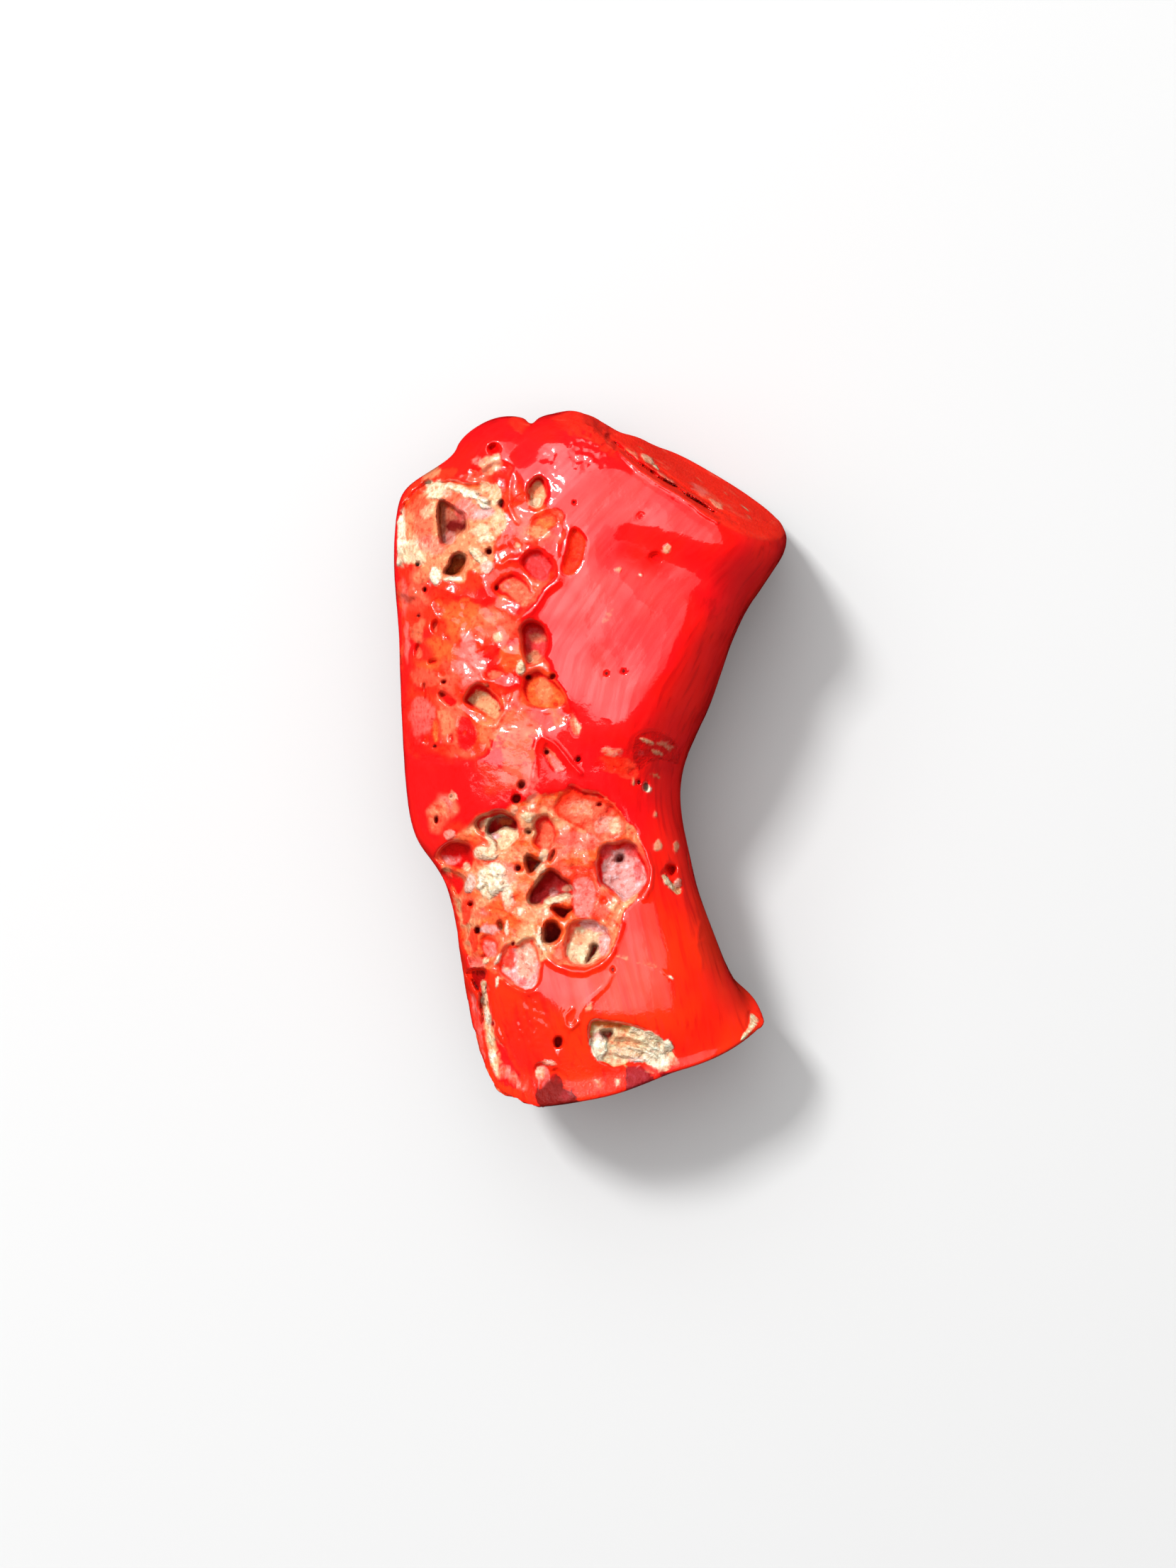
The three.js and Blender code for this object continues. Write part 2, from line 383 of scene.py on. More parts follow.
for places, half_width, height in SWELLS:
    part = part_around(np.array(places, float), 3 * half_width)
    across = distance_to_line(places, map_u[part], map_v[part]) / half_width
    worn_down[part] -= height * np.exp(-(across**2))
down_slope = (map_v - LOWER_SLOPE_FROM) / (LOWER_SLOPE_TO - LOWER_SLOPE_FROM)
worn_down += LOWER_SLOPE_DEPTH * np.clip(down_slope, 0, None) ** 2
worn_down = blurred(worn_down, SWELL_SOFTNESS)

# The polish stops short of the lower rim, between these shares of the way down the slope
RIM_STARTS = 0.55
RIM_ENDS = 0.80
RIM_DULLNESS = 0.6
dull += RIM_DULLNESS * step_up(down_slope, RIM_STARTS, RIM_ENDS)

# Worn ground
#
# Along the left side the outer skin is weathered away and what is left is low cups with sharp
# ridges between them, in every tone from ember to cream.
WORN_GROUND = [
    # outline, how far it is sunk, depth of its cups, their size, dullness, its colours
    (
        [(700, 648), (725, 652), (737, 668), (742, 690), (775, 712), (800, 720), (800, 742),
         (794, 765), (790, 790), (787, 816), (765, 835), (757, 850), (735, 870), (738, 900), (775, 930),
         (798, 980), (812, 1010), (780, 1035), (745, 1035), (700, 1035), (690, 1070), (640, 1078),
         (572, 1078), (562, 1000), (560, 900), (552, 750), (575, 680), (620, 660), (640, 672),
         (672, 664)],
        0.05, 0.30, 1.15, 0.2, ("ember", "red", "salmon", "orange", "red"),
    ),
    (
        [(672, 1146), (714, 1138), (750, 1120), (790, 1112), (830, 1112), (862, 1126), (888, 1156),
         (908, 1185), (918, 1225), (905, 1262), (880, 1292), (876, 1320), (862, 1350), (835, 1368),
         (790, 1366), (766, 1352), (766, 1385), (745, 1402), (705, 1382), (690, 1372), (664, 1368),
         (648, 1330), (640, 1275), (616, 1225), (610, 1200), (640, 1180)],
        0.08, 0.24, 0.9, 0.4, ("orange", "peach", "ember", "salmon", "tan"),
    ),
    (
        [(570, 1050), (640, 1065), (700, 1075), (740, 1090), (740, 1130), (690, 1140), (650, 1180),
         (600, 1195), (575, 1140)],
        0.0, 0.03, 0.9, 0.05, ("red", "ember", "red", "red"),
    ),
    (
        [(610, 1125), (630, 1112), (648, 1125), (650, 1145), (632, 1160), (622, 1180), (606, 1175),
         (600, 1150)],
        0.05, 0.12, 0.5, 0.5, ("salmon", "pink", "peach"),
    ),
    (
        [(832, 1068), (868, 1058), (905, 1082), (900, 1105), (860, 1092), (835, 1088)],
        0.02, 0.06, 0.4, 0.4, ("red", "salmon", "ember"),
    ),
    (
        [(700, 1455), (716, 1470), (738, 1520), (750, 1540), (700, 1530), (690, 1508)],
        0.12, 0.18, 0.5, 0.3, ("red", "ember", "red", "garnet"),
    ),
    (
        [(657, 1345), (684, 1345), (690, 1366), (664, 1372), (657, 1362)],
        0.02, 0.08, 0.5, 0.4, ("pink", "salmon"),
    ),
    (
        [(655, 1395), (676, 1395), (682, 1450), (690, 1500), (678, 1500), (664, 1440)],
        0.05, 0.10, 0.6, 0.3, ("pink", "ember", "salmon"),
    ),
]
for seed, (outline, sunk, depth, size, dullness, colours) in enumerate(WORN_GROUND):
    part, inside = within(outline, 0.6, 0.12, seed)
    x, y = map_x[part], map_y[part]
    share = step_up(inside, -0.05, 0.35)
    bent_x = x + 0.3 * size * rough(x, y, 0.0, size, 2, seed)
    bent_y = y + 0.3 * size * rough(x, y, 7.0, size, 2, seed)
    relief = depth * cups(bent_x, bent_y, size, seed)
    relief += 0.35 * depth * cups(bent_x, bent_y, 0.45 * size, seed)
    relief = relief * (0.8 + 0.6 * grain(x, y, 2.0, 2.2, seed))
    worn_down[part] += share * (sunk + relief)
    dull[part] = np.maximum(dull[part], share * dullness)
    for layer, colour in enumerate(colours):
        blot = rough(x, y, 3.0 * layer, 1.5, 3, seed + 3 * layer)
        paint(part, colour, share * (0.85 if layer == 0 else 0.85 * step_up(blot, 0.05, 0.55)))

# Patches of small dimples that the polish left: outline, their depth and their size
DIMPLED = [
    ([(790, 585), (880, 585), (880, 655), (835, 680), (790, 672)], 0.11, 0.34),
    ([(752, 620), (802, 620), (800, 715), (758, 715)], 0.09, 0.34),
    ([(692, 1393), (783, 1393), (790, 1500), (702, 1484)], 0.10, 0.30),
    ([(880, 700), (960, 700), (930, 850), (900, 960), (840, 960), (800, 860)], 0.03, 0.8),
]
DIMPLED_FIRST_SEED = 20
for seed, (outline, depth, size) in enumerate(DIMPLED):
    part, inside = within(outline, 0.6, 0.2, DIMPLED_FIRST_SEED + seed)
    worn_down[part] += depth * step_up(inside, 0.0, 0.9) * cups(map_x[part], map_y[part], size, seed)

# Hollows
#
# Sponges and worms bored into the living branch. Each is an outline in the photograph, with its
# depth, how wide its wall is seen to be, both in millimetres, the colours of its wall and its
# floor, and how rough the floor is. The wall is drawn deepest and steepest at the top, and its
# colour, partly the coral's deeper red and partly painted shade, is spread widest at the upper
# left, where the overhang is in shadow.
HOLLOWS = [
    ([(622, 680), (640, 676), (662, 684), (680, 680), (697, 684), (706, 694), (712, 704), (711, 722),
      (715, 738), (712, 750), (703, 757), (697, 768), (700, 790), (690, 808), (676, 812), (662, 802),
      (660, 822), (645, 826), (636, 820), (618, 822), (606, 812), (598, 804), (585, 800), (572, 792),
      (566, 770), (562, 735), (566, 712), (580, 698), (592, 684), (606, 676)],
     0.28, 0.25, "orange", "peach", 0.05),
    ([(617, 711), (625, 706), (640, 716), (656, 724), (659, 735), (655, 745), (645, 756), (641, 766),
      (632, 771), (622, 769), (618, 755), (617, 735)],
     1.0, 0.20, "umber", "brown", 0.08),
    ([(626, 740), (634, 731), (647, 729), (659, 737), (660, 747), (650, 754), (636, 755), (628, 749)],
     1.0, 0.10, "shade_maroon", "shade_black", 0.02),
    ([(645, 780), (655, 782), (660, 790), (656, 803), (650, 812), (640, 814), (628, 812), (626, 805),
      (634, 797), (638, 785)],
     1.1, 0.18, "umber", "umber", 0.12),
    ([(574, 722), (580, 730), (586, 745), (581, 754), (575, 745)],
     0.25, 0.12, "umber", "ember", 0.03),
    ([(686, 634), (692, 626), (703, 626), (709, 634), (704, 641), (694, 642)],
     0.35, 0.25, "garnet", "garnet", 0.03),
    ([(745, 690), (747, 680), (757, 671), (766, 674), (773, 687), (775, 697), (769, 708), (763, 718),
      (754, 720), (747, 712), (743, 700)],
     0.75, 0.22, "garnet", "tan", 0.05),
    ([(720, 712), (726, 701), (742, 694), (744, 704), (732, 712), (724, 717)],
     0.2, 0.15, "ember", "ember", 0.03),
    ([(742, 757), (744, 738), (752, 728), (766, 722), (780, 720), (792, 728), (788, 742), (776, 750),
      (770, 758), (755, 761)],
     0.25, 0.30, "ember", "orange", 0.04),
    ([(732, 792), (737, 781), (750, 775), (762, 775), (774, 782), (781, 793), (784, 800), (777, 809),
      (775, 819), (765, 824), (752, 818), (742, 810), (735, 802)],
     0.42, 0.25, "garnet", "rose", 0.10),
    ([(803, 748), (812, 744), (822, 752), (830, 765), (826, 777), (824, 790), (816, 806), (804, 816),
      (792, 812), (790, 800), (796, 785), (800, 770)],
     0.30, 0.25, "ember", "ember", 0.08),
    ([(692, 824), (708, 812), (726, 806), (742, 816), (752, 832), (751, 848), (740, 860), (728, 852),
      (716, 844), (702, 840)],
     0.32, 0.30, "garnet", "salmon", 0.06),
    ([(733, 887), (738, 880), (748, 875), (760, 877), (769, 885), (774, 893), (777, 905), (775, 918),
      (770, 927), (760, 934), (752, 940), (745, 941), (738, 936), (736, 920), (735, 900)],
     1.0, 0.30, "garnet", "rose", 0.12),
    ([(736, 972), (738, 958), (746, 948), (758, 944), (771, 949), (782, 958), (792, 970), (800, 983),
      (796, 996), (780, 1001), (765, 1002), (750, 999), (740, 990)],
     0.45, 0.28, "garnet", "orange", 0.04),
    ([(652, 990), (657, 978), (667, 966), (680, 964), (692, 974), (704, 981), (711, 992), (709, 1004),
      (701, 1016), (690, 1014), (678, 1006), (667, 1001), (659, 996)],
     0.75, 0.30, "garnet", "tan", 0.08),
    ([(680, 955), (684, 946), (694, 940), (705, 941), (713, 948), (707, 957), (697, 964), (687, 961)],
     0.22, 0.22, "garnet", "salmon", 0.04),
    ([(609, 876), (618, 875), (621, 884), (617, 896), (611, 890)],
     0.35, 0.12, "garnet", "salmon", 0.02),
    ([(583, 922), (587, 910), (592, 907), (599, 915), (596, 926), (588, 932)],
     0.30, 0.15, "garnet", "salmon", 0.02),
    ([(602, 931), (612, 929), (621, 935), (613, 940), (604, 938)],
     0.30, 0.12, "garnet", "garnet", 0.02),
    ([(617, 977), (628, 977), (639, 981), (648, 989), (644, 997), (634, 998), (625, 991)],
     0.45, 0.20, "garnet", "garnet", 0.04),
    ([(618, 950), (626, 944), (632, 950), (628, 957), (620, 957)],
     0.22, 0.15, "ember", "ember", 0.02),
    ([(596, 962), (601, 962), (604, 984), (600, 992), (596, 980)],
     0.22, 0.10, "garnet", "garnet", 0.02),
    ([(632, 1038), (640, 1036), (641, 1048), (634, 1050)],
     0.22, 0.10, "garnet", "garnet", 0.02),
    ([(608, 1014), (618, 1012), (622, 1030), (618, 1048), (610, 1044), (606, 1028)],
     0.12, 0.15, "ember", "orange", 0.02),
    ([(646, 1006), (662, 1008), (672, 1024), (676, 1044), (660, 1062), (645, 1058), (642, 1030)],
     0.10, 0.25, "red", "red", 0.02),
    ([(915, 785), (920, 779), (932, 781), (935, 789), (928, 795), (918, 792)],
     0.30, 0.12, "garnet", "red", 0.03),
    ([(898, 728), (904, 721), (911, 727), (907, 735), (900, 735)],
     0.14, 0.18, "red", "red", 0.01),
    ([(802, 1000), (812, 1000), (816, 1018), (819, 1038), (808, 1040), (800, 1020)],
     0.14, 0.15, "red", "salmon", 0.10),
    ([(669, 1162), (677, 1152), (690, 1147), (703, 1143), (713, 1144), (722, 1149), (731, 1158),
      (735, 1168), (733, 1180), (722, 1194), (712, 1200), (704, 1203), (699, 1195), (694, 1185),
      (686, 1182), (676, 1174)],
     0.55, 0.20, "garnet", "cream", 0.10),
    ([(685, 1168), (692, 1156), (705, 1148), (720, 1152), (733, 1162), (732, 1174), (723, 1170),
      (714, 1167), (707, 1170), (700, 1175), (690, 1180)],
     0.95, 0.14, "shade_maroon", "shade_maroon", 0.05),
    ([(618, 1202), (628, 1191), (639, 1186), (655, 1188), (664, 1189), (670, 1200), (671, 1220),
      (661, 1230), (645, 1228), (630, 1220), (618, 1212)],
     0.85, 0.40, "garnet", "garnet", 0.10),
    ([(622, 1226), (635, 1229), (646, 1232), (656, 1240), (657, 1250), (651, 1261), (646, 1265),
      (640, 1256), (631, 1246), (624, 1238)],
     1.1, 0.22, "garnet", "garnet", 0.10),
    ([(752, 1158), (762, 1149), (775, 1149), (782, 1160), (788, 1173), (785, 1188), (776, 1199),
      (764, 1203), (756, 1197), (750, 1186), (757, 1175), (751, 1168)],
     0.55, 0.30, "garnet", "salmon", 0.08),
    ([(741, 1170), (753, 1173), (747, 1181)],
     0.7, 0.10, "garnet", "shade_maroon", 0.02),
    ([(740, 1207), (748, 1207), (756, 1210), (767, 1215), (759, 1225), (753, 1232), (745, 1234),
      (741, 1222)],
     1.3, 0.14, "umber", "shade_maroon", 0.03),
    ([(774, 1214), (778, 1204), (784, 1198), (783, 1208), (777, 1217)],
     0.7, 0.09, "umber", "umber", 0.02),
    ([(744, 1263), (751, 1252), (760, 1242), (768, 1231), (778, 1225), (787, 1231), (793, 1238),
      (802, 1240), (809, 1247), (812, 1258), (808, 1268), (800, 1263), (793, 1266), (782, 1261),
      (772, 1269), (765, 1277), (752, 1278), (745, 1273)],
     1.3, 0.22, "shade_maroon", "rose", 0.14),
    ([(752, 1252), (762, 1240), (770, 1231), (779, 1226), (786, 1232), (784, 1246), (772, 1252),
      (758, 1262), (750, 1268), (746, 1262)],
     0.6, 0.20, "shade_maroon", "shade_maroon", 0.04),
    ([(777, 1280), (790, 1278), (800, 1282), (811, 1281), (801, 1290), (797, 1299), (788, 1293),
      (782, 1287)],
     1.4, 0.12, "shade_maroon", "shade_maroon", 0.03),
    ([(768, 1305), (774, 1299), (783, 1299), (790, 1306), (795, 1315), (788, 1327), (778, 1331),
      (768, 1328), (766, 1316)],
     2.0, 0.14, "shade_maroon", "shade_black", 0.03),
    ([(800, 1240), (812, 1229), (830, 1229), (842, 1240), (846, 1264), (838, 1288), (822, 1299),
      (806, 1294), (800, 1270)],
     0.16, 0.30, "ember", "pink", 0.07),
    ([(842, 1208), (848, 1193), (857, 1188), (868, 1190), (880, 1185), (892, 1185), (902, 1198),
      (912, 1215), (917, 1232), (913, 1250), (902, 1260), (890, 1268), (880, 1275), (872, 1266),
      (862, 1259), (850, 1251), (843, 1241), (841, 1222)],
     0.65, 0.30, "garnet", "lilac", 0.09),
    ([(868, 1208), (874, 1203), (881, 1208), (880, 1216), (873, 1217), (868, 1214)],
     0.9, 0.12, "garnet", "shade_black", 0.02),
    ([(800, 1303), (815, 1299), (830, 1297), (846, 1301), (860, 1312), (866, 1324), (862, 1340),
      (850, 1352), (838, 1360), (822, 1363), (806, 1362), (796, 1354), (794, 1338), (799, 1322)],
     0.60, 0.30, "salmon", "cream", 0.07),
    ([(835, 1331), (846, 1333), (843, 1341), (838, 1349), (830, 1359), (825, 1360), (829, 1350),
      (834, 1341)],
     0.8, 0.09, "umber", "shade_maroon", 0.02),
    ([(702, 1372), (701, 1355), (707, 1340), (718, 1330), (730, 1333), (740, 1323), (753, 1323),
      (761, 1340), (764, 1360), (762, 1382), (753, 1394), (742, 1398), (729, 1393), (716, 1384)],
     0.34, 0.25, "ember", "lilac", 0.04),
    ([(677, 1319), (689, 1317), (701, 1324), (707, 1340), (697, 1353), (684, 1352), (675, 1338)],
     0.22, 0.25, "ember", "pink", 0.04),
    ([(701, 1299), (709, 1299), (714, 1310), (712, 1320), (705, 1313)],
     0.5, 0.12, "umber", "umber", 0.02),
    ([(776, 1140), (788, 1124), (800, 1110), (815, 1113), (835, 1119), (856, 1124), (870, 1135),
      (882, 1150), (886, 1166), (876, 1182), (850, 1186), (835, 1181), (822, 1172), (800, 1162),
      (785, 1155)],
     0.20, 0.35, "ember", "salmon", 0.10),
    ([(797, 1106), (810, 1106), (825, 1116), (845, 1117), (857, 1124), (850, 1130), (830, 1124),
      (811, 1121)],
     0.30, 0.20, "garnet", "garnet", 0.02),
    ([(659, 1369), (668, 1368), (684, 1365), (688, 1380), (683, 1384), (678, 1386), (678, 1398),
      (672, 1398), (667, 1381), (660, 1376)],
     1.1, 0.12, "shade_maroon", "shade_maroon", 0.03),
    ([(676, 1382), (686, 1384), (691, 1400), (695, 1424), (699, 1452), (704, 1478), (706, 1505),
      (704, 1524), (696, 1516), (689, 1500), (685, 1480), (680, 1452), (677, 1418)],
     0.45, 0.16, "garnet", "tan", 0.08),
    ([(754, 1536), (765, 1530), (774, 1520), (776, 1511), (787, 1509), (794, 1522), (799, 1535),
      (810, 1542), (818, 1552), (812, 1570), (785, 1575), (764, 1566), (752, 1548)],
     1.6, 0.12, "shade_maroon", "shade_black", 0.10),
    ([(755, 1503), (765, 1499), (776, 1505), (778, 1515), (770, 1526), (760, 1531), (755, 1516)],
     0.30, 0.12, "garnet", "pink", 0.14),
    ([(830, 1450), (834, 1439), (850, 1440), (870, 1442), (892, 1446), (908, 1452), (926, 1460),
      (942, 1470), (951, 1483), (953, 1497), (948, 1510), (930, 1513), (918, 1506), (905, 1499),
      (890, 1499), (880, 1505), (868, 1508), (856, 1501), (843, 1496), (834, 1482), (831, 1465)],
     0.45, 0.20, "ochre", "cream", 0.10),
    ([(848, 1455), (855, 1456), (862, 1453), (866, 1460), (858, 1470), (851, 1463)],
     0.9, 0.10, "shade_maroon", "shade_maroon", 0.02),
    ([(876, 1506), (884, 1498), (900, 1501), (914, 1502), (922, 1512), (928, 1524), (905, 1535),
      (888, 1548), (878, 1546), (880, 1522)],
     0.75, 0.14, "shade_maroon", "shade_wine", 0.08),
    ([(924, 1510), (938, 1511), (949, 1511), (950, 1522), (932, 1526)],
     0.60, 0.15, "shade_maroon", "shade_wine", 0.05),
    ([(1057, 1425), (1066, 1429), (1074, 1441), (1067, 1452), (1056, 1462), (1042, 1474),
      (1046, 1459), (1055, 1447)],
     0.12, 0.10, "ember", "cream", 0.04),
    ([(937, 1222), (948, 1219), (954, 1226), (951, 1236), (944, 1237)],
     0.5, 0.12, "garnet", "garnet", 0.02),
    ([(934, 1226), (938, 1232), (945, 1242), (953, 1246), (961, 1250), (962, 1262), (950, 1262),
      (940, 1250), (933, 1240)],
     0.18, 0.12, "tan", "tan", 0.08),
    ([(768, 1046), (778, 1056), (792, 1070), (800, 1088), (786, 1092), (774, 1078), (766, 1062)],
     0.14, 0.18, "salmon", "pink", 0.03),
    ([(893, 1040), (905, 1031), (930, 1030), (955, 1042), (962, 1062), (958, 1082), (938, 1072),
      (915, 1074), (898, 1090), (889, 1070)],
     0.06, 0.30, "garnet", "garnet", 0.09),
    ([(660, 664), (668, 660), (676, 664), (670, 670)],
     0.12, 0.12, "ember", "ember", 0.01),
    ([(800, 1228), (806, 1220), (818, 1218), (828, 1224), (830, 1230), (814, 1229)],
     0.16, 0.15, "garnet", "ember", 0.01),
]
HOLLOWS_FIRST_SEED = 40
HOLLOW_DULLNESS = 0.75
for seed, (outline, depth, wall, shaded_wall_colour, floor_colour, floor_roughness) in enumerate(HOLLOWS):
    part, inside = within(outline, 0.5, 0.05, HOLLOWS_FIRST_SEED + seed)
    x, y = map_x[part], map_y[part]
    corners = np.array(outline, float)
    low_v, high_v = corners[:, 1].min(), corners[:, 1].max()
    low_u, high_u = corners[:, 0].min(), corners[:, 0].max()
    upward = 1 - 2 * (map_v[part] - low_v) / (high_v - low_v)
    leftward = 1 - 2 * (map_u[part] - low_u) / (high_u - low_u)
    overhang_and_shade = np.clip(0.8 * upward + 0.35 * leftward, -1, 1)
    share = step_up(inside, -0.05, wall * (0.85 - 0.45 * overhang_and_shade))
    floor = depth * (1 + 0.22 * overhang_and_shade) + floor_roughness * rough(x, y, 1.0, 0.55, 4, seed)
    worn_down[part] += share * floor
    uneven = 0.05 * rough(x, y, 4.0, 0.4, 3, seed)
    # The wall colour goes all over the hollow and the floor colour over it further in, so the wall band,
    # partly painted shade, is widest at the upper left.
    paint(part, shaded_wall_colour, step_up(inside, 0.02, 0.14) * 0.95)
    reached = inside + uneven - wall * (0.75 + 0.6 * overhang_and_shade)
    paint(part, floor_colour, step_up(reached, -0.05, 0.06))
    dull[part] = np.maximum(dull[part], HOLLOW_DULLNESS * step_up(inside, 0.0, 0.12))

# Pin-holes left by finer threads of the sponge: the middle, width and height of each in the
# photograph, in pixels, and how deep they can be, in millimetres
PIN_HOLE_DEPTH = 0.7
PIN_HOLES = [
    (690, 778, 9, 9), (708, 711, 8, 15), (589, 797, 7, 7), (600, 832, 6, 8), (591, 869, 6, 5),
    (614, 1053, 7, 6), (856, 950, 5, 5), (880, 947, 5, 6), (771, 1061, 7, 7), (816, 1071, 8, 8),
    (810, 709, 5, 5), (736, 1107, 11, 12), (729, 1127, 13, 14), (616, 1157, 6, 13), (637, 1124, 5, 5),
    (731, 1225, 8, 10), (664, 1275, 8, 7), (674, 1313, 9, 11), (724, 1331, 6, 6), (846, 1135, 9, 5),
    (865, 1368, 5, 7), (788, 1470, 13, 17), (694, 1444, 8, 7), (701, 1488, 4, 5), (732, 1515, 7, 10),
    (901, 1103, 5, 8), (911, 1110, 7, 14), (626, 962, 8, 6), (780, 954, 9, 9), (745, 955, 9, 7),
    (688, 968, 6, 4), (705, 1003, 6, 5), (700, 830, 6, 8),
]
for seed, (u, v, width, height) in enumerate(PIN_HOLES):
    part = part_around(np.array([[u, v]], float), 0.6)
    u_here, v_here = ragged_places(part, 0.25, 0.025, seed)
    reach = np.sqrt(((u_here - u) / width) ** 2 + ((v_here - v) / height) ** 2) * 2.2
    narrow = min(width, height) / 2 * MM_PER_PIXEL
    share = step_up((1 - reach) * narrow, -0.03, 0.05)
    worn_down[part] += min(PIN_HOLE_DEPTH, 4 * narrow) * share
    # The inside of each pin-hole is painted dark red, as painted shade.
    paint(part, "shade_maroon", step_up((1 - reach) * narrow, -0.03, 0.03))

# Small scars, 5 to 14 pixels long, all over the worn ground but not in the deep hollows
SCARS = 300
SCARRED_FROM_DULLNESS = 0.2
SCARRED_DOWN_TO = 0.6
SCAR_SEED = 21
chance = np.random.default_rng(SCAR_SEED)
for number in range(SCARS):
    i, j = chance.integers(0, MAP_SHAPE[0]), chance.integers(0, MAP_SHAPE[1])
    size = chance.uniform(5, 14)
    stretch = chance.uniform(0.7, 1.5)
    turn = chance.uniform(0, math.pi)
    depth = chance.uniform(0.05, 0.20)
    warm = chance.choice(["garnet", "ember", "orange", "pink", "cream"], p=[0.35, 0.25, 0.2, 0.15, 0.05])
    if dull[i, j] < SCARRED_FROM_DULLNESS or worn_down[i, j] > SCARRED_DOWN_TO:
        continue
    u, v = map_u[i, j], map_v[i, j]
    part = part_around(np.array([[u, v]]), 0.6)
    u_here, v_here = ragged_places(part, 0.25, 0.05, number)
    du, dv = u_here - u, v_here - v
    p = (du * math.cos(turn) + dv * math.sin(turn)) / (size * stretch) * 2
    q = (dv * math.cos(turn) - du * math.sin(turn)) / size * 2
    reach = np.sqrt(p * p + q * q)
    share = step_up(1 - reach, -0.1, 0.6)
    worn_down[part] += depth * share
    paint(part, warm, 0.7 * step_up(1 - reach, 0.0, 0.35))

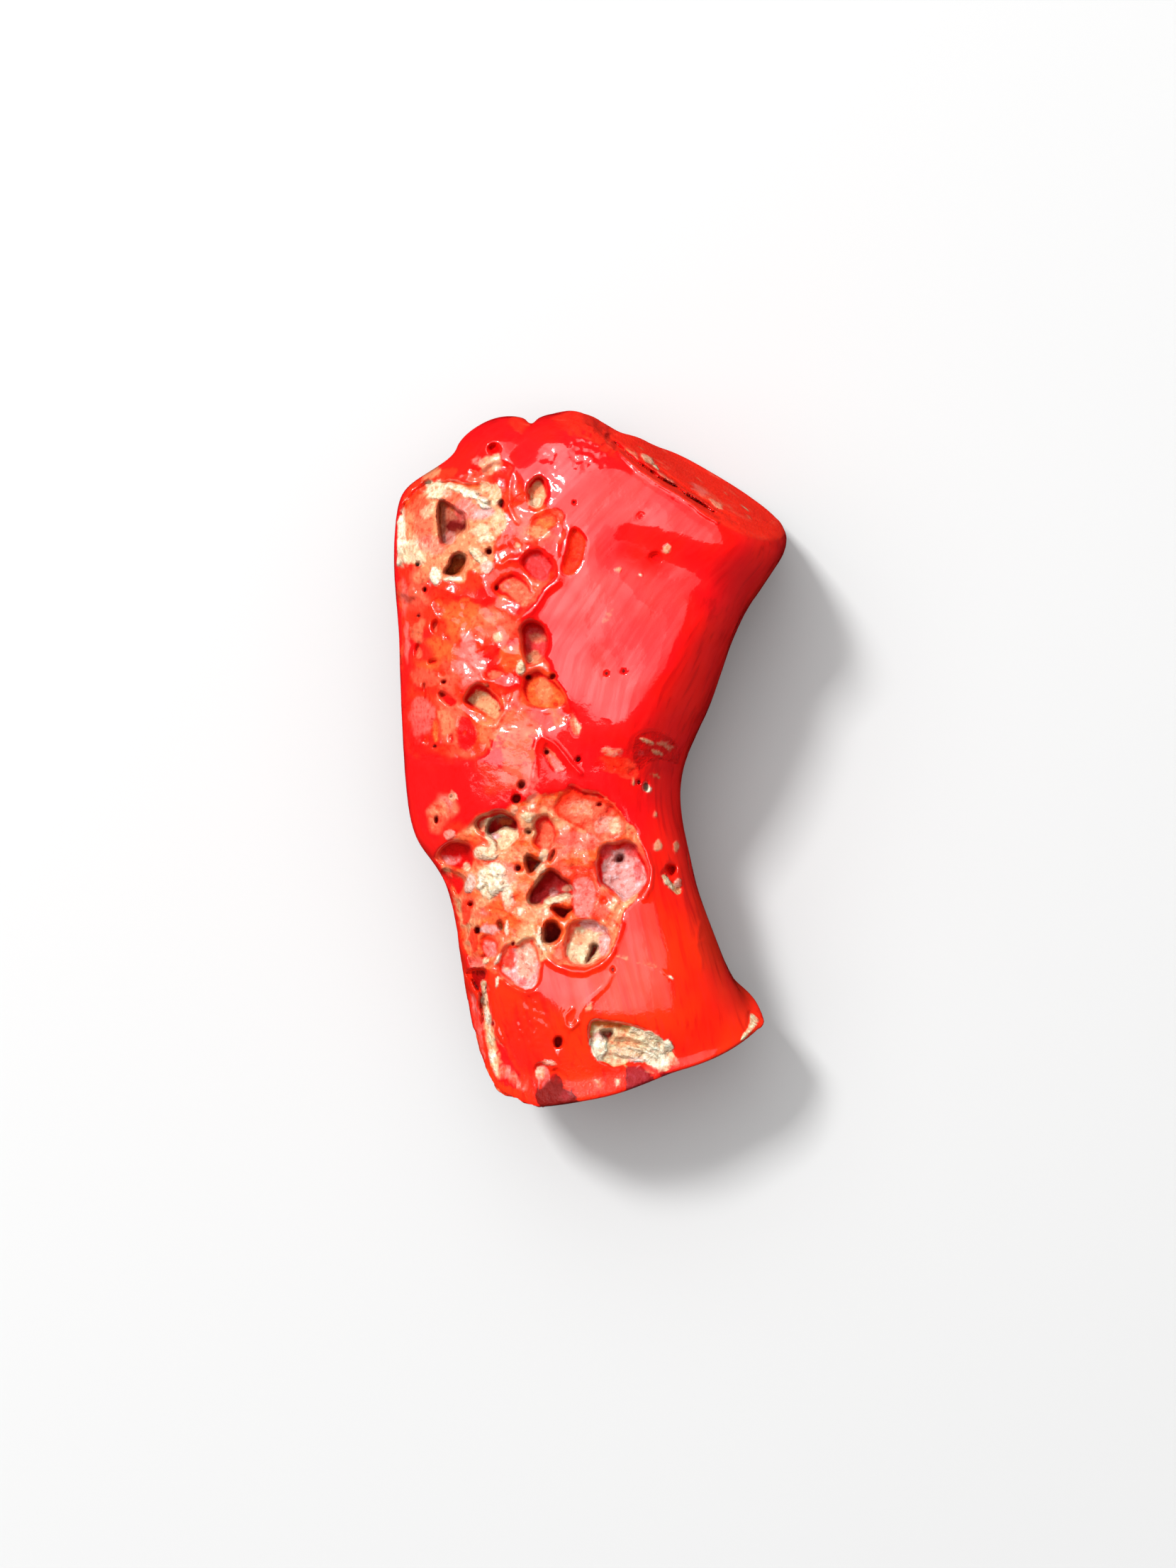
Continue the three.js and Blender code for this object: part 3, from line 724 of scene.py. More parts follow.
# Stains and dried lime. Each has its middle, width and height in pixels, its turn in degrees, its
# colour and how strong that is, and the thickness of its lime in millimetres.
BLOTS = [
    (617, 692, 42, 26, 15, "cream", 0.95, 0.05), (608, 668, 34, 18, -35, "peach", 0.8, 0.0),
    (584, 690, 24, 40, 35, "ember", 0.8, 0.0), (592, 712, 40, 30, 0, "ember", 0.7, 0.0),
    (632, 668, 30, 16, -20, "ember", 0.9, 0.0),
    (640, 705, 50, 22, 25, "salmon", 0.9, 0.0), (660, 720, 40, 26, 30, "pink", 0.8, 0.0),
    (650, 690, 58, 12, 14, "cream", 1.0, 0.10), (668, 699, 46, 11, 24, "chalk", 1.0, 0.16),
    (684, 711, 26, 13, 40, "chalk", 1.0, 0.12), (690, 688, 30, 14, 20, "tan", 0.9, 0.04),
    (698, 702, 20, 34, 10, "tan", 0.9, 0.04), (683, 724, 40, 15, -8, "lilac", 0.95, 0.0),
    (704, 738, 20, 34, 5, "tan", 0.9, 0.03), (678, 748, 34, 14, -20, "cream", 0.8, 0.02),
    (566, 756, 12, 84, 4, "chalk", 1.0, 0.04), (575, 780, 22, 46, 30, "cream", 0.95, 0.03),
    (593, 772, 34, 40, 0, "cream", 0.5, 0.0), (588, 788, 30, 18, 20, "cream", 0.8, 0.03),
    (598, 740, 30, 50, 0, "salmon", 0.8, 0.0), (604, 722, 16, 26, 30, "cream", 0.6, 0.0),
    (610, 768, 46, 26, 0, "pink", 0.5, 0.0), (613, 812, 16, 26, -15, "chalk", 0.95, 0.10),
    (640, 817, 34, 7, 0, "chalk", 1.0, 0.10), (685, 757, 22, 16, 0, "cream", 0.9, 0.05),
    (676, 785, 30, 14, 40, "cream", 1.0, 0.08), (687, 800, 18, 18, 0, "lilac", 0.9, 0.04),
    (655, 763, 40, 26, 0, "peach", 0.7, 0.0), (634, 757, 16, 24, 20, "lilac", 0.5, 0.0),
    (650, 785, 14, 10, 0, "tan", 0.8, 0.0),
    (690, 655, 34, 28, 0, "peach", 0.7, 0.02), (700, 650, 14, 26, 0, "cream", 0.5, 0.02),
    (674, 650, 22, 14, 0, "pink", 0.6, 0.0), (588, 824, 26, 60, 0, "salmon", 0.8, 0.0),
    (594, 812, 24, 20, 0, "peach", 0.7, 0.0), (570, 840, 10, 60, 0, "pink", 0.5, 0.0),
    (655, 868, 60, 46, 10, "orange", 0.8, 0.0), (685, 872, 40, 36, 0, "peach", 0.35, 0.0),
    (660, 912, 26, 34, 0, "pink", 0.9, 0.0), (702, 898, 16, 12, 0, "cream", 0.7, 0.02),
    (590, 890, 18, 40, 10, "peach", 0.6, 0.0), (574, 905, 8, 60, 0, "pink", 0.7, 0.0),
    (600, 955, 40, 30, 0, "salmon", 0.7, 0.0), (596, 1010, 34, 60, 0, "pink", 0.55, 0.0),
    (630, 1016, 22, 46, -10, "peach", 0.6, 0.0), (715, 1030, 90, 60, 0, "peach", 0.4, 0.0),
    (728, 1070, 50, 80, 0, "salmon", 0.75, 0.0), (665, 940, 44, 60, 0, "pink", 0.6, 0.0),
    (757, 692, 22, 18, 0, "peach", 0.7, 0.0), (755, 710, 20, 12, 0, "cream", 0.8, 0.03),
    (757, 750, 34, 16, 0, "peach", 0.8, 0.0), (815, 1022, 8, 24, -15, "cream", 0.6, 0.02),
    (735, 943, 12, 20, 0, "cream", 0.9, 0.06), (752, 928, 26, 18, 0, "tan", 0.7, 0.0),
    (757, 900, 26, 12, 0, "tan", 0.4, 0.0), (766, 975, 22, 40, -10, "peach", 0.5, 0.0),
    (698, 1179, 20, 10, -5, "lilac", 1.0, 0.0), (718, 1182, 26, 22, 0, "cream", 0.9, 0.0),
    (712, 1160, 18, 10, 0, "umber", 0.9, 0.0), (681, 1166, 8, 12, 20, "peach", 0.9, 0.02),
    (693, 1188, 12, 30, -25, "cream", 0.8, 0.04), (684, 1205, 34, 18, 15, "cream", 0.75, 0.08),
    (745, 1152, 22, 14, 0, "cream", 0.8, 0.05), (790, 1200, 30, 60, 20, "salmon", 0.7, 0.0),
    (636, 1214, 26, 14, 0, "lilac", 0.6, 0.0), (658, 1222, 8, 14, 0, "cream", 0.8, 0.03),
    (664, 1247, 14, 26, 20, "lilac", 0.9, 0.05), (690, 1243, 40, 38, 0, "cream", 1.0, 0.12),
    (702, 1228, 28, 22, 35, "chalk", 0.9, 0.12), (700, 1250, 30, 20, -20, "chalk", 0.8, 0.10),
    (680, 1240, 12, 26, 0, "chalk", 0.9, 0.10), (715, 1262, 16, 46, -12, "chalk", 0.55, 0.05),
    (718, 1232, 24, 34, 0, "pink", 0.5, 0.0), (732, 1287, 10, 12, 0, "chalk", 0.9, 0.05),
    (705, 1280, 44, 20, 0, "orange", 0.8, 0.0), (658, 1285, 16, 34, 0, "ember", 0.9, 0.0),
    (668, 1330, 12, 40, 0, "ember", 0.9, 0.0), (740, 1250, 26, 60, 20, "orange", 0.8, 0.0),
    (755, 1285, 34, 30, 0, "peach", 0.7, 0.0), (730, 1205, 40, 24, 0, "peach", 0.8, 0.0),
    (768, 1206, 16, 18, 0, "cream", 0.8, 0.03), (763, 1226, 16, 18, -40, "cream", 0.7, 0.03),
    (790, 1268, 44, 12, -14, "cream", 0.9, 0.04), (780, 1258, 12, 14, 0, "lilac", 0.8, 0.0),
    (800, 1254, 14, 10, 0, "cream", 0.7, 0.02), (760, 1322, 6, 30, 5, "chalk", 0.7, 0.04),
    (765, 1336, 8, 18, -35, "chalk", 0.9, 0.05), (815, 1212, 46, 20, 0, "orange", 0.8, 0.0),
    (816, 1187, 60, 26, 0, "pink", 0.5, 0.0), (850, 1162, 30, 24, 0, "pink", 0.6, 0.03),
    (868, 1166, 16, 24, 0, "cream", 0.6, 0.02), (820, 1140, 40, 24, 0, "peach", 0.35, 0.02),
    (856, 1200, 18, 26, 20, "rose", 0.9, 0.0), (888, 1200, 22, 22, 0, "rose", 0.8, 0.0),
    (900, 1228, 14, 30, 0, "rose", 0.7, 0.0), (846, 1240, 8, 24, 0, "garnet", 0.9, 0.0),
    (812, 1340, 30, 30, 0, "cream", 0.8, 0.02), (815, 1325, 26, 20, 0, "peach", 0.6, 0.0),
    (838, 1308, 40, 14, 20, "lilac", 0.9, 0.0), (852, 1333, 16, 30, 20, "lilac", 0.9, 0.0),
    (790, 1345, 18, 26, 0, "salmon", 0.8, 0.0), (718, 1352, 20, 36, 0, "ember", 0.9, 0.0),
    (712, 1342, 10, 20, 0, "salmon", 0.8, 0.0), (744, 1350, 28, 66, 4, "tan", 0.45, 0.0),
    (736, 1384, 14, 14, 0, "rose", 0.7, 0.0), (690, 1310, 26, 14, 0, "lilac", 0.9, 0.0),
    (714, 1309, 5, 24, 0, "chalk", 0.95, 0.06), (703, 1352, 6, 20, 30, "chalk", 0.7, 0.05),
    (701, 1385, 6, 20, 0, "chalk", 0.7, 0.05), (684, 1355, 8, 14, 0, "cream", 0.8, 0.04),
    (682, 1392, 8, 18, 0, "tan", 1.0, 0.10), (684, 1408, 9, 20, -5, "tan", 1.0, 0.12),
    (688, 1433, 8, 30, -8, "chalk", 1.0, 0.14), (692, 1462, 9, 26, -8, "cream", 1.0, 0.12),
    (695, 1489, 9, 20, 0, "chalk", 1.0, 0.12), (700, 1508, 8, 12, 0, "cream", 0.8, 0.06),
    # The first two marks in the next row darken the crust along its top edge, under its overhang.
    (858, 1446, 50, 10, 6, "umber", 1.0, 0.0), (884, 1452, 30, 10, 12, "ochre", 0.9, 0.0),
    (846, 1478, 26, 34, 0, "chalk", 1.0, 0.08), (846, 1462, 14, 14, 0, "lilac", 0.9, 0.03),
    (880, 1470, 44, 20, 8, "tan", 0.8, 0.0), (888, 1484, 50, 18, 0, "cream", 1.0, 0.08),
    (918, 1466, 60, 16, 26, "cream", 1.0, 0.12), (925, 1490, 40, 26, 20, "chalk", 0.9, 0.12),
    (900, 1493, 30, 10, 0, "lilac", 0.6, 0.0), (943, 1475, 12, 20, -10, "chalk", 0.8, 0.06),
    # The thin dark red line at the end of the next row and the dark red blot that starts the row after
    # it are painted shade, in a crevice and in a deep hole.
    (872, 1526, 6, 9, 0, "cream", 0.9, 0.05), (936, 1512, 14, 3, 30, "shade_maroon", 0.8, 0.0),
    (799, 1545, 12, 16, 0, "shade_wine", 0.8, 0.0), (722, 1520, 40, 12, 45, "salmon", 0.5, 0.02),
    (716, 1508, 24, 5, 50, "lilac", 0.5, 0.02), (734, 1534, 20, 6, 40, "pink", 0.6, 0.02),
    (914, 648, 24, 9, 38, "peach", 0.9, 0.04), (926, 659, 14, 4, 36, "cream", 1.0, 0.06),
    (892, 641, 28, 6, 40, "orange", 0.8, 0.02), (940, 674, 34, 4, 38, "salmon", 0.8, 0.02),
    (985, 673, 22, 5, 45, "salmon", 0.9, 0.0), (1023, 694, 16, 4, 34, "salmon", 0.8, 0.0),
    (1052, 716, 12, 4, 45, "cream", 0.9, 0.0), (1010, 711, 26, 6, 38, "peach", 0.7, 0.02),
    (1058, 731, 16, 4, 38, "salmon", 0.8, 0.0),
    (952, 1497, 9, 16, 0, "salmon", 0.8, 0.0),
    (762, 1512, 13, 18, 0, "peach", 0.8, 0.06), (775, 1500, 20, 6, 15, "salmon", 0.8, 0.04),
    (785, 1566, 34, 10, -8, "rose", 0.9, 0.0),
    (928, 1192, 13, 20, 0, "peach", 0.9, 0.02), (954, 1196, 8, 18, 0, "peach", 0.8, 0.02),
    (924, 1149, 6, 10, 0, "peach", 0.8, 0.02), (914, 1112, 8, 14, 0, "chalk", 0.8, 0.02),
    (893, 1103, 5, 10, 0, "peach", 0.8, 0.02), (924, 1094, 16, 6, 10, "peach", 0.6, 0.0),
    (942, 1243, 8, 24, -35, "cream", 0.9, 0.06), (956, 1246, 12, 14, 0, "pink", 0.9, 0.05),
    (912, 1046, 20, 5, 24, "tan", 0.7, 0.02), (938, 1052, 26, 5, 18, "peach", 0.5, 0.02),
    (926, 1062, 18, 4, 30, "tan", 0.6, 0.02), (905, 1062, 10, 8, 0, "rose", 0.6, 0.0),
    (1000, 700, 60, 14, 30, "salmon", 0.5, 0.0),
    (903, 634, 8, 4, 20, "peach", 0.8, 0.0), (985, 690, 30, 10, 28, "pink", 0.5, 0.0),
    (904, 811, 6, 5, 0, "chalk", 0.8, 0.02), (873, 802, 12, 7, -10, "peach", 0.8, 0.02),
    (940, 773, 10, 14, 20, "peach", 0.8, 0.03), (853, 870, 22, 40, 30, "peach", 0.35, 0.0),
    (750, 1105, 26, 60, 0, "pink", 0.5, 0.0), (726, 1143, 12, 14, 0, "peach", 0.8, 0.03),
    (638, 1124, 12, 14, 0, "peach", 0.9, 0.03), (634, 1178, 16, 14, 0, "pink", 0.8, 0.03),
    (845, 1527, 8, 12, 0, "peach", 0.8, 0.02), (832, 1420, 8, 14, 15, "peach", 0.8, 0.02),
    (880, 1350, 22, 10, 10, "peach", 0.6, 0.0), (915, 1362, 40, 6, 14, "peach", 0.4, 0.0),
    (947, 1380, 12, 5, 25, "chalk", 0.8, 0.02), (862, 1060, 30, 12, 0, "peach", 0.5, 0.02),
]
BLOTS_FIRST_SEED = 90
for seed, (u, v, width, height, turn, colour, strength, lime) in enumerate(BLOTS):
    part = part_around(np.array([[u, v]], float), 0.75 * max(width, height) * MM_PER_PIXEL + 0.2)
    u_here, v_here = ragged_places(part, 0.35, 0.07, BLOTS_FIRST_SEED + seed)
    c, s = math.cos(math.radians(turn)), math.sin(math.radians(turn))
    du, dv = u_here - u, v_here - v
    reach = np.sqrt(((c * du + s * dv) / width) ** 2 + ((c * dv - s * du) / height) ** 2) * 2
    x, y = map_x[part], map_y[part]
    near = 1.08 - reach + 0.26 * rough(x, y, 6.0, 0.4, 4, seed)
    paint(part, colour, strength * step_up(near, 0.0, 0.28))
    if lime > 0:
        share = step_up(near, 0.0, 0.25)
        flaky = 1 + 0.9 * rough(x, y, 8.0, 0.4, 4, seed)
        worn_down[part] -= lime * share * flaky
        crust[part] = np.maximum(crust[part], share * min(1.0, lime / 0.06))

# Ridges and cracks: places that each runs through in the photograph, and its half width and its
# height in millimetres. A height below zero is a groove.
LINES = [
    ([(868, 624), (898, 652), (923, 670), (954, 686), (973, 701), (992, 714), (1018, 730)], 0.05, -0.18),
    ([(874, 637), (900, 663), (925, 681), (956, 697), (985, 719), (1012, 737)], 0.10, 0.16),
    ([(921, 656), (948, 676), (970, 691), (1004, 713), (1034, 730)], 0.05, -0.13),
    ([(905, 650), (935, 671), (960, 688), (998, 712)], 0.05, 0.12),
    ([(816, 1442), (806, 1452), (797, 1446), (797, 1434), (808, 1422)], 0.08, 0.13),
    ([(786, 819), (776, 826), (765, 836), (757, 850), (748, 863), (735, 871), (728, 878), (724, 889)],
     0.26, 0.20),
    ([(804, 745), (800, 764), (795, 782)], 0.12, 0.10),
    ([(722, 664), (719, 690), (719, 716), (724, 728), (730, 737)], 0.12, 0.13),
    ([(725, 962), (724, 978), (720, 997)], 0.07, 0.08),
    ([(655, 1004), (664, 1012), (676, 1022), (690, 1025), (701, 1024), (708, 1010)], 0.09, 0.09),
    ([(782, 956), (791, 968), (799, 980), (806, 990)], 0.09, 0.07),
    ([(758, 1044), (754, 1060), (755, 1080), (752, 1100)], 0.13, 0.14),
    ([(766, 1040), (780, 1048), (790, 1058), (803, 1076), (818, 1092)], 0.12, 0.15),
    ([(774, 1062), (779, 1074), (783, 1087)], 0.08, -0.10),
    ([(766, 1340), (772, 1352), (786, 1362), (806, 1370), (826, 1370), (848, 1361), (864, 1342),
      (872, 1320), (875, 1304)], 0.17, 0.20),
    ([(702, 1376), (716, 1388), (730, 1398), (744, 1402), (755, 1398)], 0.12, 0.14),
    ([(900, 1182), (914, 1204), (920, 1226), (918, 1250), (908, 1268)], 0.14, 0.15),
    ([(866, 1370), (856, 1388), (840, 1404), (824, 1418), (818, 1432), (812, 1446), (804, 1451),
      (796, 1444), (793, 1432), (796, 1422)], 0.13, 0.08),
    ([(872, 1272), (882, 1282), (876, 1292)], 0.08, 0.05),
    ([(988, 1300), (986, 1318), (983, 1336), (989, 1352), (990, 1366)], 0.06, 0.05),
    ([(972, 1334), (984, 1330), (996, 1326)], 0.05, 0.04),
    ([(868, 1354), (890, 1358), (914, 1362), (933, 1368)], 0.06, 0.03),
    ([(934, 1370), (948, 1380)], 0.06, 0.06),
    ([(691, 1394), (695, 1414), (702, 1442), (712, 1466), (724, 1490), (734, 1510), (742, 1526)],
     0.09, -0.16),
    ([(858, 615), (872, 631), (902, 654), (935, 677), (973, 702), (1011, 724), (1040, 738)],
     0.07, -0.10),
    ([(678, 822), (684, 834), (694, 843)], 0.07, 0.07),
    ([(687, 932), (695, 920), (704, 912)], 0.09, 0.10),
    ([(838, 1490), (848, 1499), (862, 1504)], 0.08, 0.05),
    ([(886, 1456), (905, 1464), (925, 1472), (944, 1480)], 0.05, -0.12),
    ([(862, 1478), (880, 1479), (896, 1484), (912, 1488)], 0.05, -0.18),
    ([(866, 1461), (892, 1463), (920, 1475), (942, 1489)], 0.09, 0.20),
    ([(880, 1473), (904, 1480), (926, 1491), (940, 1501)], 0.08, 0.16),
    ([(850, 1478), (866, 1486), (888, 1491), (906, 1496)], 0.08, 0.14),
    ([(868, 1468), (896, 1472), (922, 1484), (940, 1496)], 0.05, -0.22),
    ([(848, 1490), (862, 1496), (876, 1498)], 0.05, -0.14),
    ([(672, 697), (686, 700)], 0.05, -0.20),
    ([(683, 1215), (695, 1217)], 0.04, -0.20), ([(681, 1227), (692, 1229)], 0.04, -0.20),
    ([(688, 1234), (700, 1240), (706, 1250)], 0.04, -0.14),
    ([(620, 822), (640, 821)], 0.06, -0.10),
    ([(738, 1034), (758, 1034)], 0.04, -0.03), ([(848, 1012), (860, 1013)], 0.05, 0.03),
]
LINES_FIRST_SEED = 150
for seed, (places, half_width, height) in enumerate(LINES):
    part = part_around(np.array(places, float), 3 * half_width)
    u_here, v_here = ragged_places(part, 0.6, 0.04, LINES_FIRST_SEED + seed)
    across = distance_to_line(places, u_here, v_here) / half_width
    worn_down[part] -= height * np.exp(-(across**2))

# The sharpest edges are taken off by less than a pixel
HOLLOW_SOFTNESS = 0.6
worn_down = blurred(worn_down, HOLLOW_SOFTNESS)

# The map is pressed into the skin wherever the camera sees it, and fades out down the sides: not
# at all below the first height here, and fully above the second, both in millimetres
SEEN_LOW = 2.6
SEEN_HIGH = 4.6

# How far under and over the old skin the new one can lie
DEEPEST = 3.2
HIGHEST = 0.9

# How much the skin has to face up to be seen: 0 for a wall and 1 for level ground. Ground that the
# wear has laid bare counts as seen down to a depth in millimetres below what is left there.
FACES_UP = (0.04, 0.28)
TOP_FACES_UP = (0.28, 0.50)
LAID_BARE = (0.3, 0.9)
SEEN_EDGE_RAGGEDNESS = 0.08
SEEN_EDGE_SIZE = 1.6

# The way that the skin faces, and its top as the camera sees it
facing = blurred(skin, SKIN_SOFTNESS)
columns = np.indices(skin.shape[:2])
top_layer = skin.shape[2] - 2 - np.argmax(skin[:, :, -2::-1] < 0, axis=2)
top_height = field_low[2] + FIELD_STEP * top_layer
top_upward = facing[(*columns, top_layer + 1)] - facing[(*columns, top_layer - 1)]
top_upward /= 2 * FIELD_STEP


def on_map(layer, x, y, z):
    """A map layer's values at places in millimetres, as seen from the camera."""
    u, v = place_in_photo(x, y, z)
    u = np.clip(u - MAP_LEFT, 0, MAP_SHAPE[0] - 1.01)
    v = np.clip(v - MAP_TOP, 0, MAP_SHAPE[1] - 1.01)
    i, j = u.astype(int), v.astype(int)
    p, q = u - i, v - j
    if layer.ndim == 3:
        p, q = p[:, None], q[:, None]
    return (
        (1 - p) * (1 - q) * layer[i, j]
        + p * (1 - q) * layer[i + 1, j]
        + (1 - p) * q * layer[i, j + 1]
        + p * q * layer[i + 1, j + 1]
    )


def seen_share(upward, x, y, z):
    """How far a place is seen by the camera, from its height and how far its skin faces up.

    A place that the wear has laid bare faces as the skin above it did.
    """
    i = ((x - field_low[0]) / FIELD_STEP).round().astype(int).clip(0, skin.shape[0] - 1)
    j = ((y - field_low[1]) / FIELD_STEP).round().astype(int).clip(0, skin.shape[1] - 1)
    under_worn = top_height[i, j] - z - on_map(worn_down, x, y, z)
    laid_bare = (1 - step_up(under_worn, *LAID_BARE)) * step_up(top_upward[i, j], *TOP_FACES_UP)
    upward = np.maximum(upward, laid_bare)
    upward = upward + SEEN_EDGE_RAGGEDNESS * rough(x, y, z, SEEN_EDGE_SIZE, 1, 60)
    return step_up(z, SEEN_LOW, SEEN_HIGH) * step_up(upward, *FACES_UP)


def worn_share(x, y, z):
    """Where the sides that the photograph does not show are weathered, from 0 to 1."""
    patches = grain(x, y, z, 5.0, 3) + 0.45 * rough(x, y, z, 1.8, 3, 4) - 0.02 * x
    return step_up(patches, 0.50, 0.72)


# The lower end was sawn in a shallow bow, and the upper left corner is chipped back. Whatever lies
# outside this outline is gone; it runs wide of the stub where nothing is cut.
CUT_BACK = [
    (-900, 1000), (-300, 800), (540, 712), (572, 684), (612, 662), (641, 641), (648, 622), (664, 606),
    (690, 591), (712, 585), (737, 586), (749, 601), (761, 587), (790, 581), (830, 560), (900, -900),
    (2600, -900), (1400, 1000), (1180, 1300), (1130, 1390), (1092, 1436), (1080, 1448),
    (1041, 1476), (1012, 1492), (983, 1504), (947, 1514), (922, 1525), (878, 1543), (850, 1550),
    (821, 1555), (784, 1562), (740, 1570), (650, 1584), (300, 1600), (-900, 1600),
]
SAWN_ROUNDING = 0.3
_, cut_back = within(CUT_BACK, 0.0, 0.0, 0)

# The map's wear is pressed in, but never through more than most of the coral under it
MOST_OF_THICKNESS = 0.6
coral = skin.copy()
first_layer = int((SEEN_LOW - field_low[2]) / FIELD_STEP)
above = skin[:, :, first_layer:]
i, j, k = np.nonzero((above < HIGHEST) & (above > -DEEPEST))
x = field_low[0] + FIELD_STEP * i
y = field_low[1] + FIELD_STEP * j
z = field_low[2] + FIELD_STEP * (k + first_layer)
thickness = -skin.min(axis=2)[i, j]
layer = k + first_layer
upward = (facing[i, j, layer + 1] - facing[i, j, layer - 1]) / (2 * FIELD_STEP)
pressed = on_map(worn_down, x, y, z) * seen_share(upward, x, y, z)
pressed = -larger(-pressed, -MOST_OF_THICKNESS * np.maximum(thickness, 0.0), 0.1)
worn = skin[i, j, layer] + pressed
worn = larger(worn, -on_map(cut_back, x, y, z), SAWN_ROUNDING)
coral[i, j, layer] = worn.astype(np.float32)

# The hidden sides are weathered in patches, which are sunk a little and rough
WEATHERED_DEPTH = 0.10
WEATHERED_BAND = 0.4
i, j, k = np.nonzero(np.abs(skin[:, :, 1:-1]) < WEATHERED_BAND)
k = k + 1
x, y, z = (field_low[axis] + FIELD_STEP * index for axis, index in enumerate((i, j, k)))
upward = (facing[i, j, k + 1] - facing[i, j, k - 1]) / (2 * FIELD_STEP)
share = worn_share(x, y, z) * (1 - seen_share(upward, x, y, z)) * step_up(z, 0.6, 1.6)
sunk = WEATHERED_DEPTH * (1 + rough(x, y, z, 0.9, 3, 65))
coral[i, j, k] += (share * sunk).astype(np.float32)

# Borings on the sides that the photograph does not show. Each stands square to the skin.
skin_points, skin_quads = surface_of(skin, FIELD_STEP, field_low)
skin_tree = BVHTree.FromPolygons(skin_points.tolist(), skin_quads.tolist())


def window(low, high):
    """The part of the field between two corners, and its coordinates."""
    first = np.clip(((low - field_low) / FIELD_STEP).astype(int), 0, coral.shape)
    last = np.clip(((high - field_low) / FIELD_STEP).astype(int) + 2, 0, coral.shape)
    part = tuple(slice(a, b) for a, b in zip(first, last))
    axes = [field_low[i] + FIELD_STEP * np.arange(first[i], last[i]) for i in range(3)]
    return part, np.meshgrid(*axes, indexing="ij", sparse=True)


marks = []


def bore(point, normal, half_across, half_along, turn, depth, colours, seed, rim):
    """Cuts one boring into the skin, and remembers it for its colour."""
    across = np.cross(normal, [0.0, 1.0, 0.0])
    across /= np.linalg.norm(across)
    along = np.cross(normal, across)
    across, along = (
        math.cos(turn) * across + math.sin(turn) * along,
        math.cos(turn) * along - math.sin(turn) * across,
    )
    reach = 1.35 * max(half_across, half_along) + 0.3
    box = np.abs(across) * reach + np.abs(along) * reach + np.abs(normal) * (depth + 0.5)
    part, (x, y, z) = window(point - box, point + box)
    narrow = min(half_across, half_along)
    ragged = narrow * 0.9
    dx, dy, dz = x - point[0], y - point[1], z - point[2]
    p = (across[0] * dx + across[1] * dy + across[2] * dz) / half_across
    q = (along[0] * dx + along[1] * dy + along[2] * dz) / half_along
    p = p + 0.22 * grain(x, y, z, ragged, seed) + 0.08 * grain(x, y, z, 0.3, seed + 1)
    q = q + 0.22 * grain(x, y, z, ragged, seed + 2) + 0.08 * grain(x, y, z, 0.3, seed + 3)
    r = (np.abs(p) ** 2.4 + np.abs(q) ** 2.4) ** (1 / 2.4)
    down = -skin[part]
    share = np.clip(down / depth, 0, 1.2)
    wall = (r - (1.0 - 0.22 * share)) * narrow
    floor = down - depth * (1 - 0.25 * np.clip(r, 0, 1.2) ** 2)
    floor = floor + min(0.16, 0.22 * depth) * rough(x, y, z, 0.55, 3, seed)
    hollow = larger(wall, floor, min(0.25, 0.4 * depth))
    coral[part] = larger(coral[part], -hollow, rim)
    marks.append((point, across / half_across, along / half_along, normal, depth, colours))


# They lie between two heights and stay clear of the ends, and most are on the left side, which is
# the more weathered one. The larger ones come first and the pin-holes after them.
HIDDEN_BORINGS = 64
HIDDEN_PIN_HOLES = 60
BORED_FROM = 1.9
BORED_UP_TO = 5.2
CLEAR_OF_ENDS = 1.5
SHARES_OF_SIDES = (0.72, 0.28)
OUTSIDE = 30
MOST_TURNED_TO_ENDS = 0.6
# The last pair paints the boring's wall dark red, as painted shade.
BORING_COLOURS = (("garnet", "rose"), ("garnet", "salmon"), ("ember", "rose"), ("shade_maroon", "garnet"))
BORING_SEED = 5
chance = np.random.default_rng(BORING_SEED)
nearest_end = stub_points[:, 1].min() + CLEAR_OF_ENDS
farthest_end = stub_points[:, 1].max() - CLEAR_OF_ENDS
cut = 0
while cut < HIDDEN_BORINGS + HIDDEN_PIN_HOLES:
    height = chance.uniform(BORED_FROM, BORED_UP_TO)
    far = chance.uniform(nearest_end, farthest_end)
    side = chance.choice([-1.0, 1.0], p=SHARES_OF_SIDES)
    start = Vector((side * OUTSIDE, far, height))
    point, normal, _, _ = skin_tree.ray_cast(start, Vector((-side, 0, 0)))
    if point is None or abs(normal.y) > MOST_TURNED_TO_ENDS:
        continue
    point, normal = np.array(point), np.array(normal)
    pick = chance.uniform(0, 1, 4)
    if cut < HIDDEN_BORINGS:
        half = 0.28 + 0.75 * pick[0] ** 2.2
        depth = (0.25 + 0.9 * pick[1]) * half + 0.1
        colours = BORING_COLOURS[int(len(BORING_COLOURS) * pick[2])]
        bore(point, normal, half, half * (0.8 + 0.7 * pick[3]), 6 * pick[2], depth, colours, cut, 0.09)
    else:
        half = 0.10 + 0.10 * pick[0]
        # Pin-holes are painted dark red right through, as painted shade.
        bore(point, normal, half, half, 0.0, 0.7, ("shade_maroon", "shade_maroon"), cut, 0.04)
    cut += 1

# The worn skin as points and faces. There are too many, so they are thinned out where it is flat.
coral_points, coral_quads = surface_of(coral, FIELD_STEP, field_low)


def value_at(field, points):
    """A field's values at points, from the eight grid places around each."""
    place = (points - field_low) / FIELD_STEP
    place = np.clip(place, 0, np.array(field.shape) - 1.001)
    cell = place.astype(int)
    part = place - cell
    total = np.zeros(len(points))
    for corner in range(8):
        step = np.array([(corner >> axis) & 1 for axis in range(3)])
        weight = np.prod(np.where(step, part, 1 - part), axis=1)
        i, j, k = (cell + step).T
        total += weight * field[i, j, k]
    return total


